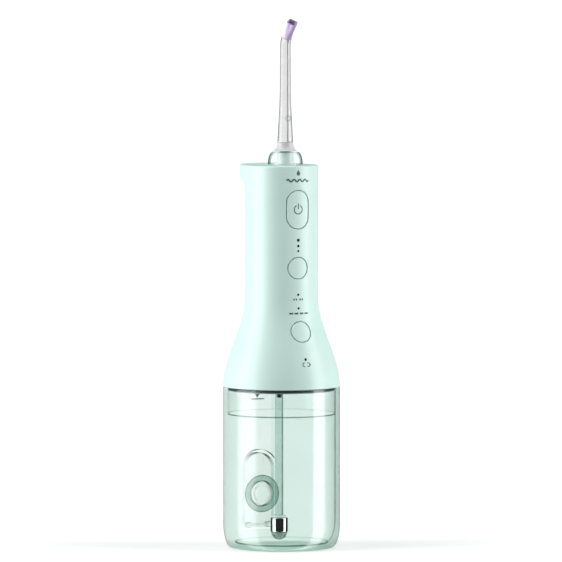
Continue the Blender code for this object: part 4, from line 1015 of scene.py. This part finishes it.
def build_straight_pad(name, node, z, outline_at, half_height, material):
    margin = half_height + 2.0
    thickness = 2.6
    pad = made(name, handle_sleeve(z - margin, z + margin, thickness), material, node, ride=False)
    limit = front_prism(outline_at(), z, -NECK_R - 3.0, -NECK_R + thickness + 4.0)
    boolean(pad, tool(limit), "INTERSECT")
    boolean(pad, tool(straight_groove(seam_outline(outline_at), z)))
    stem = front_prism(circle(1.2, 24), z, -NECK_R + thickness - 1.0, STEM_END)
    boolean(pad, tool(stem), "UNION")
    return dress(pad, material, node, node)


def build_mode_pad(material):
    margin = MODE_R + 3.0
    thickness = 2.6
    sleeve = handle_sleeve(MODE_Z - margin, MODE_Z + margin, thickness)
    pad = made("mode_pad", sleeve, material, "mode_button", ride=False)
    boolean(pad, tool(mode_cylinder(MODE_R, -4.0, 7.0)), "INTERSECT")
    boolean(pad, tool(mode_groove()))
    stem_length = (flare_radius(MODE_Z) + STEM_END) / math.cos(mode_slope()) - 0.5
    boolean(pad, tool(mode_cylinder(1.2, thickness - 1.0, stem_length)), "UNION")
    return dress(pad, material, "mode_button", "mode_button")


def build_lens(node, material):
    """A small domed light guide, flush with the handle."""
    low, high = span(node)
    radius, middle = high.x, (low.z + high.z) / 2.0
    dome = [(0.0, 0.0)] + [
        (radius * math.sin(math.radians(a)), 0.12 * (1.0 - math.cos(math.radians(a)))) for a in (30, 60, 90)
    ]
    bm = turned(dome + [(radius, high.y - low.y), (0.0, high.y - low.y)], 32)
    bm.transform(Matrix.Rotation(math.radians(-90.0), 4, "X"))
    return made(node + "_dome", moved(bm, (0.0, low.y, middle)), material, "handle", node)


def build_port_cover(material):
    margin = CHARGE_HEIGHT / 2.0 + 1.0
    sleeve = handle_sleeve(CHARGE_Z - margin, CHARGE_Z + margin, 1.5)
    cover = made("charging_cover", sleeve, material, "port_cover", ride=False)
    limit = front_prism(charge_outline(), CHARGE_Z, NECK_R - 5.0, NECK_R + 3.0)
    boolean(cover, tool(limit), "INTERSECT")
    boolean(cover, tool(straight_groove(charge_outline(0.15), CHARGE_Z, rear=True)))
    return dress(cover, material, "port_cover", "port_cover")


# ---------------------------------------------------------------- printed marks


def mark(name, outlines, material, body, z):
    """Thin printed shapes laid on the handle: each outline is a closed loop of (across, up) points."""
    bm = bmesh.new()
    for outline in outlines:
        low = [bm.verts.new(surface_point(u, z + v, -0.02)) for u, v in outline]
        high = [bm.verts.new(surface_point(u, z + v, 0.03)) for u, v in outline]
        bm.faces.new(low)
        bm.faces.new(high)
        for i in range(len(outline)):
            j = (i + 1) % len(outline)
            bm.faces.new((low[i], low[j], high[j], high[i]))
    return made(name, bm, material, body)


def band(points, width):
    """Short overlapping quads along a line of points, as one stroke of a pen."""
    quads = []
    for start, end in zip(points, points[1:]):
        along = Vector(end) - Vector(start)
        normal = Vector((-along.y, along.x)).normalized() * width / 2.0
        a, b = Vector(start), Vector(end)
        quads.append([tuple(a - normal), tuple(b - normal), tuple(b + normal), tuple(a + normal)])
    return quads


def build_marks(ink):
    ring = arc((0.0, 0.0), 2.65, 118.0, 422.0, 40)
    mark("power_symbol", band(ring, 0.62) + band([(0.0, 0.3), (0.0, 3.6)], 0.62), ink, "power_button", POWER_Z + 0.1)
    wave = [(-7.4 + 0.37 * i, 0.75 * math.sin(i * 2.0 * math.pi / 10.0)) for i in range(41)]
    mark("wave_mark", band(wave, 0.95), ink, "handle", HANDLE_TOP - 8.6)
    drop = [(0.0, 2.1)] + arc((0.0, -0.2), 1.15, 20.0, -200.0, 20)
    mark("drop_mark", [drop], ink, "handle", HANDLE_TOP - 4.3)
    dashes = ((149.5, (-2.0, 2.0)), (141.2, (-5.0, -1.7, 1.7, 5.0)))
    for number, (z, centres) in enumerate(dashes, 1):
        bars = [band([(c - 1.25, 0.0), (c + 1.25, 0.0)], 1.05)[0] for c in centres]
        mark(f"mode_dashes_{number}", bars, ink, "handle", z)
    cell = []
    for x, y, start in ((1.8, 0.6, 0.0), (-1.8, 0.6, 90.0), (-1.8, -0.6, 180.0), (1.8, -0.6, 270.0)):
        cell += arc((x, y), 0.4, start, start + 90.0, 4)
    cap = band([(2.65, -0.5), (2.65, 0.5)], 0.5)
    cell_z = span("battery_lens")[0].z - 2.2
    mark("cell_symbol", band(cell + cell[:1], 0.5) + cap, ink, "handle", cell_z)


# ---------------------------------------------------------------- underside, seal and hose


def build_underside(grey, seam):
    low, high = span("handle_base")
    spigot_r, groove_z = TANK_R - TANK_WALL - 0.4, (span("tank_seal_ring")[0].z + span("tank_seal_ring")[1].z) / 2.0
    wire = (span("tank_seal_ring")[1].z - span("tank_seal_ring")[0].z) / 2.0 + 0.1
    groove_r, half = span("tank_seal_ring")[1].x - 2.0 * wire - 0.2, wire + 0.2
    floor = high.z - 1.9
    profile = [(0.0, floor), (spigot_r - 2.5, floor), (spigot_r - 2.5, low.z)]
    profile += arc((spigot_r - 0.2, low.z + 0.2), 0.2, -90.0, 0.0, 4)
    profile += [(spigot_r, groove_z - half), (groove_r, groove_z - half), (groove_r, groove_z + half)]
    profile += [(spigot_r, groove_z + half), (spigot_r, floor - 0.2), (high.x, floor - 0.2), (high.x, high.z), (0.0, high.z)]
    base = made("handle_underside", turned(profile), grey, "handle", ride=False)
    boolean(base, tool(rod(2.0, floor - 1.0, high.z + 1.0, y=HOSE_Y)))
    for number in (1, 2, 3):
        screw_low, screw_high = span(f"base_screw_{number}")
        centre = (screw_low + screw_high) / 2.0
        boolean(base, tool(rod(1.2, floor - 1.0, high.z + 1.0, centre.x, centre.y, 24)))
    dress(base, grey, "handle", "handle_base")
    ring = arc((span("tank_seal_ring")[1].x - wire, groove_z), wire, 0.0, 337.5, 15)
    made("joint_seal", turned(ring), seam, "handle", "tank_seal_ring")


def build_hose(hose, bore, black, dark, white, steel, strainer):
    low, high = span("suction_hose")
    path = [Vector((0.0, HOSE_Y, z)) for z in heights(low.z, high.z, 24)]
    bm = tube(path, lambda f: HOSE_R, lambda f: HOSE_BORE_R, 48)
    pipe = made("hose_tube", bm, hose, "hose", "suction_hose")
    line_bore(pipe, bore)

    sleeve_top = span("hose_connector")[0].z - 0.3
    sleeve = [(r, z) for z in (sleeve_top - 3.6, sleeve_top) for r in (HOSE_BORE_R - 0.05, 0.8)]
    sleeve = [sleeve[0], sleeve[2], sleeve[3], sleeve[1]]
    made("hose_sleeve", moved(turned(sleeve, 48), (0.0, HOSE_Y, 0.0)), black, "hose")

    weight_low, weight_high = span("hose_weight")
    edge = 0.45
    profile = [(HOSE_BORE_R, weight_low.z)]
    profile += arc((weight_high.x - edge, weight_low.z + edge), edge, -90.0, 0.0, 6)
    profile += arc((weight_high.x - edge, weight_high.z - edge), edge, 0.0, 90.0, 6)
    profile += [(HOSE_BORE_R, weight_high.z)]
    made("weight_barrel", moved(turned(profile, 64), (0.0, HOSE_Y, 0.0)), steel, "hose", "hose_weight")

    cap_low, cap_high = span("weight_cap")
    profile = [(HOSE_BORE_R + 0.05, cap_low.z), (cap_high.x - 0.1, cap_low.z)]
    for step in range(9):
        angle = math.pi / 2.0 * step / 8
        radius = 2.7 + (cap_high.x - 2.7) * math.cos(angle)
        profile.append((radius, cap_low.z + 0.2 + (cap_high.z - cap_low.z - 0.2) * math.sin(angle)))
    profile.append((HOSE_BORE_R + 0.05, cap_high.z))
    made("weight_collar", moved(turned(profile, 64), (0.0, HOSE_Y, 0.0)), white, "hose", "weight_cap")

    dome_low, dome_high = span("hose_strainer")
    profile = [(0.0, dome_low.z)]
    for step in range(1, 15):
        angle = math.pi / 2.0 * step / 14
        up = (dome_high.z - dome_low.z) * (1.0 - math.cos(angle))
        profile.append((dome_high.x * math.sin(angle), dome_low.z + up))
    profile.append((0.0, dome_high.z))
    dome = made("strainer_dome", moved(turned(profile, 64), (0.0, HOSE_Y, 0.0)), strainer, "hose", ride=False)
    boolean(dome, tool(rod(2.2, dome_low.z + 1.8, dome_high.z + 1.0, y=HOSE_Y)))
    for quarter in range(4):
        slot = box(2.0, dome_high.x + 1.0, -0.5, 0.5, 6.2, 7.4)
        slot.transform(Matrix.Rotation(math.radians(90.0 * quarter + 20.0), 4, "Z"))
        boolean(dome, tool(moved(slot, (0.0, HOSE_Y, 0.0))))
    dress(dome, strainer, "hose", "hose_strainer")

    nipple_low, nipple_high = span("hose_connector")
    profile = [(0.7, nipple_low.z), (1.0, nipple_low.z), (1.0, nipple_low.z + 2.0)]
    profile += arc((5.0, nipple_low.z + 2.5), 0.5, -90.0, 0.0, 4)
    profile += arc((5.0, nipple_low.z + 2.6), 0.5, 0.0, 90.0, 4)
    profile += [(1.7, nipple_low.z + 3.1), (1.7, nipple_high.z), (0.7, nipple_high.z)]
    made("hose_nipple", moved(turned(profile, 48), (0.0, HOSE_Y, 0.0)), dark, "handle", "hose_connector")


# ---------------------------------------------------------------- collar and nozzle


def at_nozzle(bm):
    return moved(bm, (0.0, NOZZLE_Y, 0.0))


def dome_profile(low_r, top_r, low, top, bulge, steps=16):
    """A convex side from the wide foot to the narrower top."""
    points = []
    full = math.pi / 2.0 * bulge
    for step in range(steps + 1):
        angle = full * step / steps
        radius = low_r - (low_r - top_r) * (1.0 - math.cos(angle)) / (1.0 - math.cos(full))
        points.append((radius, low + (top - low) * math.sin(angle) / math.sin(full)))
    return points


def build_collar(green, inside_green, white):
    outside = dome_profile(COLLAR_R, COLLAR_TOP_R + 0.3, COLLAR_LOW, COLLAR_TOP - 0.3, 0.85)
    shoulder = arc((COLLAR_TOP_R, COLLAR_TOP - 0.35), 0.35, 20.0, 90.0, 4)
    inner_top = COLLAR_TOP - COLLAR_WALL
    inside = dome_profile(COLLAR_R - COLLAR_WALL, COLLAR_TOP_R - 0.8, COLLAR_LOW, inner_top, 0.85)
    lip = [(HUB_R + 0.3, COLLAR_TOP), (HUB_R + 0.3, inner_top)]
    bm = turned(outside + shoulder + lip + inside[::-1], 96)
    dome = made("collar_dome", at_nozzle(bm), green, "collar", "nozzle_collar")
    dome.data.materials.append(inside_green)
    for face in dome.data.polygons:
        outward = Vector((face.center.x, face.center.y - NOZZLE_Y * MM, 0.0))
        if face.normal.dot(outward) < 0.0:
            face.material_index = 1

    low, high = span("collar_hub")
    neck_r, flange_top, neck_top = 6.6, low.z + 3.9, COLLAR_LOW + 0.6
    profile = [
        (HUB_BORE_R, low.z),
        (high.x, low.z),
        (high.x, flange_top),
        (neck_r, flange_top),
        (neck_r, neck_top),
        (HUB_R, neck_top),
        (HUB_R, high.z),
        (HUB_BORE_R, high.z),
    ]
    made("turning_sleeve", at_nozzle(turned(profile, 96)), white, "collar", "collar_hub")


def build_insert(white):
    low, high = span("nozzle_insert")
    groove_low, groove_high = low.z + 2.0, low.z + 3.8
    stem_r = 3.0
    profile = [
        (NOZZLE_BORE_R, low.z),
        (stem_r - 0.4, low.z),
        (stem_r, low.z + 0.4),
        (stem_r, groove_low),
        (stem_r - 0.9, groove_low),
        (stem_r - 0.9, groove_high),
        (stem_r, groove_high),
        (stem_r, INSERT_LOW),
    ]
    for step in range(17):
        angle = math.pi / 2.0 * step / 16
        radius = INSERT_LOW_R - (INSERT_LOW_R - TUBE_LOW_R) * math.sin(angle)
        profile.append((radius, INSERT_TOP - (INSERT_TOP - INSERT_LOW - 0.4) * math.cos(angle)))
    profile.append((NOZZLE_BORE_R, INSERT_TOP))
    made("nozzle_foot", at_nozzle(turned(profile, 96)), white, "nozzle", "nozzle_insert")


def nozzle_point(length):
    """The nozzle's centre line: straight up, round the bend and straight on."""
    straight = BEND_Z - TUBE_LOW
    turn = BEND_R * BEND_ANGLE
    if length <= straight:
        return Vector((0.0, NOZZLE_Y, TUBE_LOW + length))
    angle = min((length - straight) / BEND_R, BEND_ANGLE)
    beyond = max(length - straight - turn, 0.0)
    forward = BEND_R * (1.0 - math.cos(angle)) + beyond * math.sin(angle)
    up = BEND_R * math.sin(angle) + beyond * math.cos(angle)
    return Vector((0.0, NOZZLE_Y - forward, BEND_Z + up))


def tube_radius(z):
    """A flared foot, a long slow taper and a parallel end."""
    t = min(max((z - TUBE_LOW) / (TUBE_NECK_Z - TUBE_LOW), 0.0), 1.0)
    foot = (TUBE_LOW_R - TUBE_TOP_R) * (1.0 - t) ** 1.3 * 0.75
    rest = (TUBE_LOW_R - TUBE_TOP_R) * 0.25 * (BEND_Z - z) / (BEND_Z - TUBE_LOW)
    return TUBE_TOP_R + foot + max(rest, 0.0)


def build_nozzle_ring(material):
    """A small raised ring moulded on the front of the nozzle."""
    radius = tube_radius(RING_Z)
    path = []
    for across, up in circle(RING_R, 40):
        angle = across / radius
        path.append(
            Vector((radius * math.sin(angle), NOZZLE_Y - radius * math.cos(angle), RING_Z + up))
        )
    made("nozzle_ring", bead(path, RING_WIRE_R), material, "nozzle")


def build_nozzle(nozzle, bore, tip, ring):
    straight = BEND_Z - TUBE_LOW
    lengths = heights(0.0, straight, 60)[:-1] + heights(straight, straight + BEND_R * BEND_ANGLE, 20)
    path = [nozzle_point(length) for length in lengths]
    radii = [tube_radius(point.z) for point in path]
    last = len(radii) - 1
    bm = tube(path, lambda f: radii[round(f * last)], lambda f: TUBE_BORE_R, 64)
    pipe = made("nozzle_pipe", bm, nozzle, "nozzle", "nozzle_tube")
    line_bore(pipe, bore)
    build_nozzle_ring(ring)

    start = straight + BEND_R * BEND_ANGLE + 0.3
    path = [nozzle_point(start + z) for z in heights(0.0, TIP_LENGTH, 32)]

    def outer(f):
        return TIP_LOW_R + (TIP_TOP_R - TIP_LOW_R) * f * f

    def inner(f):
        opening = max(f - 0.45, 0.0) / 0.55
        return NOZZLE_BORE_R + (TIP_TOP_R - 0.7 - NOZZLE_BORE_R) * opening

    bm = tube(path, outer, inner, 96, lobe_at=lambda f: 0.13 * f)
    made("soft_tip", bm, tip, "nozzle", "nozzle_tip")


# ---------------------------------------------------------------- the CAD nodes that stay


def dress_cad_nodes(finishes):
    """Give each CAD node that stays in view its own finish."""
    kept = {
        "door": ("door_hinge_pin",),
        "steel": ("gear_shaft", "wrist_pin", "base_screw_1", "base_screw_2", "base_screw_3"),
        "grey": ("pump_bracket", "upper_bracket", "pump_head", "nozzle_socket", "connecting_rod", "piston"),
        "can": ("motor", "pump_cylinder", "charging_socket"),
        "hose": ("inlet_tube", "outlet_tube"),
        "wrap": ("battery_cell",),
        "board": ("circuit_board",),
        "dark": ("power_switch", "intensity_switch", "mode_switch"),
        "white": ("drive_gear",),
        "brass": ("motor_pinion",),
        "black": ("piston_seal", "stem_seal"),
        "plug": ("inlet_valve", "outlet_valve"),
    }
    for finish, nodes in kept.items():
        for node in nodes:
            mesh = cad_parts[node].data
            mesh.materials.clear()
            mesh.materials.append(finishes[finish])
            mesh.shade_smooth()
            mesh.set_sharp_from_angle(angle=math.radians(35.0))


# ---------------------------------------------------------------- studio


def build_floor():
    """A pale floor, almost white, that takes the soft contact shadow.

    Only the camera sees it: other rays go on into the light tent, which wraps right round.
    """
    bpy.ops.mesh.primitive_plane_add(size=80.0, location=(0.0, 0.0, -0.0002))
    floor = bpy.context.object
    floor.name = "floor"
    made_material, tree = new_material("pale_floor")
    tone = blend_colour(tree, noise(tree, 3.0), (0.94, 0.94, 0.94, 1.0), (0.96, 0.96, 0.96, 1.0))
    diffuse = shader_node(tree, "ShaderNodeBsdfDiffuse", {"Color": tone})
    glow = shader_node(tree, "ShaderNodeEmission", {"Color": (1.0, 1.0, 1.0, 1.0), "Strength": 0.09})
    added = shader_node(tree, "ShaderNodeAddShader", {0: diffuse.outputs[0], 1: glow.outputs[0]})
    through = shader_node(tree, "ShaderNodeBsdfTransparent")
    path = shader_node(tree, "ShaderNodeLightPath")
    mixed = shader_node(
        tree,
        "ShaderNodeMixShader",
        {0: path.outputs["Is Camera Ray"], 1: through.outputs[0], 2: added.outputs[0]},
    )
    output(tree, mixed.outputs[0])
    floor.data.materials.append(made_material)


def band_weight(tree, value, centre, half, soft):
    """1 where the value is within half of the centre, fading over soft."""
    offset = shader_node(tree, "ShaderNodeMath", {0: value, 1: centre}, operation="SUBTRACT").outputs[0]
    distance = shader_node(tree, "ShaderNodeMath", {0: offset}, operation="ABSOLUTE").outputs[0]
    ranged = shader_node(
        tree,
        "ShaderNodeMapRange",
        {"Value": distance, "From Min": half, "From Max": half + soft, "To Min": 1.0, "To Max": 0.0},
        interpolation_type="SMOOTHSTEP",
    )
    return ranged.outputs[0]


def build_world():
    """A light tent that turns with the camera: a wide softbox on the left, a narrow one on the
    right, a bright backdrop behind the object and a dim front. The camera itself sees white."""
    world = bpy.data.worlds.new("light_tent")
    bpy.context.scene.world = world
    world.use_nodes = True
    tree = world.node_tree
    tree.nodes.clear()
    place = shader_node(tree, "ShaderNodeTexCoord").outputs["Camera"]
    parts = shader_node(tree, "ShaderNodeSeparateXYZ", {0: place}).outputs
    bearing = shader_node(tree, "ShaderNodeMath", {0: parts[0], 1: parts[2]}, operation="ARCTAN2").outputs[0]
    lights = (
        (bearing, math.radians(-106.0), math.radians(16.0), math.radians(12.0), 3.6),
        (bearing, math.radians(100.0), math.radians(11.0), math.radians(6.0), 4.6),
        (bearing, 0.0, math.radians(30.0), math.radians(22.0), 0.3),
        (parts[1], 1.0, 0.25, 0.5, 0.12),
    )
    path = shader_node(tree, "ShaderNodeLightPath")
    fill = remap(tree, path.outputs["Is Glossy Ray"], 0.16, 0.03, 0.0, 1.0)
    total = None
    for value, centre, half, soft, strength in lights:
        weight = band_weight(tree, value, centre, half, soft)
        scaled = shader_node(tree, "ShaderNodeMath", {0: weight, 1: strength}, operation="MULTIPLY").outputs[0]
        if total is None:
            total = math_node(tree, "ADD", scaled, fill)
        else:
            total = shader_node(tree, "ShaderNodeMath", {0: scaled, 1: total}, operation="ADD").outputs[0]
    tent = shader_node(tree, "ShaderNodeBackground", {"Color": (1.0, 1.0, 1.0, 1.0), "Strength": total})
    white = shader_node(tree, "ShaderNodeBackground", {"Color": (1.0, 1.0, 1.0, 1.0), "Strength": 1.05})
    ahead = band_weight(tree, bearing, 0.0, math.radians(35.0), math.radians(30.0))
    seen_through = shader_node(
        tree,
        "ShaderNodeMath",
        {0: path.outputs["Is Transmission Ray"], 1: ahead},
        operation="MULTIPLY",
    )
    either = shader_node(
        tree,
        "ShaderNodeMath",
        {0: path.outputs["Is Camera Ray"], 1: seen_through.outputs[0]},
        operation="MAXIMUM",
    )
    mixed = shader_node(
        tree,
        "ShaderNodeMixShader",
        {0: either.outputs[0], 1: tent.outputs[0], 2: white.outputs[0]},
    )
    shader_node(tree, "ShaderNodeOutputWorld", {"Surface": mixed.outputs[0]})


def build_camera():
    """A long lens, a little to the left of the front and just above the middle."""
    distance, field = 4.0, 0.3355
    azimuth, elevation = VIEW_AZIMUTH, VIEW_ELEVATION
    target = Vector((0.0, 0.0, 0.1593)) - Vector(AWAY) * 0.36 * MM
    back = Vector(
        (
            math.sin(azimuth) * math.cos(elevation),
            -math.cos(azimuth) * math.cos(elevation),
            math.sin(elevation),
        )
    )
    data = bpy.data.cameras.new("camera")
    data.sensor_width = 36.0
    data.lens = data.sensor_width * distance / field
    data.clip_end = 50.0
    camera = bpy.data.objects.new("camera", data)
    camera.location = target + back * distance
    camera.rotation_mode = "QUATERNION"
    camera.rotation_quaternion = (-back).to_track_quat("-Z", "Y")
    bpy.context.scene.collection.objects.link(camera)
    bpy.context.scene.camera = camera


def set_rendering():
    scene = bpy.context.scene
    scene.view_settings.view_transform = "Standard"
    scene.cycles.use_denoising = True
    scene.cycles.max_bounces = 24
    scene.cycles.transmission_bounces = 20
    scene.cycles.transparent_max_bounces = 24


def build_object():
    finishes = build_materials()
    build_tank(finishes["tank"], finishes["wet"], finishes["pocket"])
    build_port_seat(finishes["seat"])
    build_tank_lines(finishes["line"], finishes["ink"])
    build_door(finishes["door"])
    build_plug(finishes["plug"])
    build_handle(finishes["mint"])
    build_straight_pad("power_pad", "power_button", POWER_Z, power_outline, POWER_HEIGHT / 2.0, finishes["pad"])
    build_straight_pad(
        "intensity_pad", "intensity_button", INTENSITY_Z, intensity_outline, INTENSITY_R, finishes["pad"]
    )
    build_mode_pad(finishes["pad"])
    build_port_cover(finishes["pad"])
    for node in LENSES:
        build_lens(node, finishes["lens"])
    build_marks(finishes["ink"])
    build_underside(finishes["grey"], finishes["seam"])
    build_hose(
        finishes["hose"],
        finishes["hose_bore"],
        finishes["black"],
        finishes["dark"],
        finishes["white"],
        finishes["steel"],
        finishes["strainer"],
    )
    build_collar(finishes["collar"], finishes["collar_inside"], finishes["white"])
    build_insert(finishes["insert"])
    build_nozzle(finishes["nozzle"], finishes["nozzle_bore"], finishes["tip"], finishes["line"])
    dress_cad_nodes(finishes)


build_object()
build_floor()
build_world()
build_camera()
set_rendering()
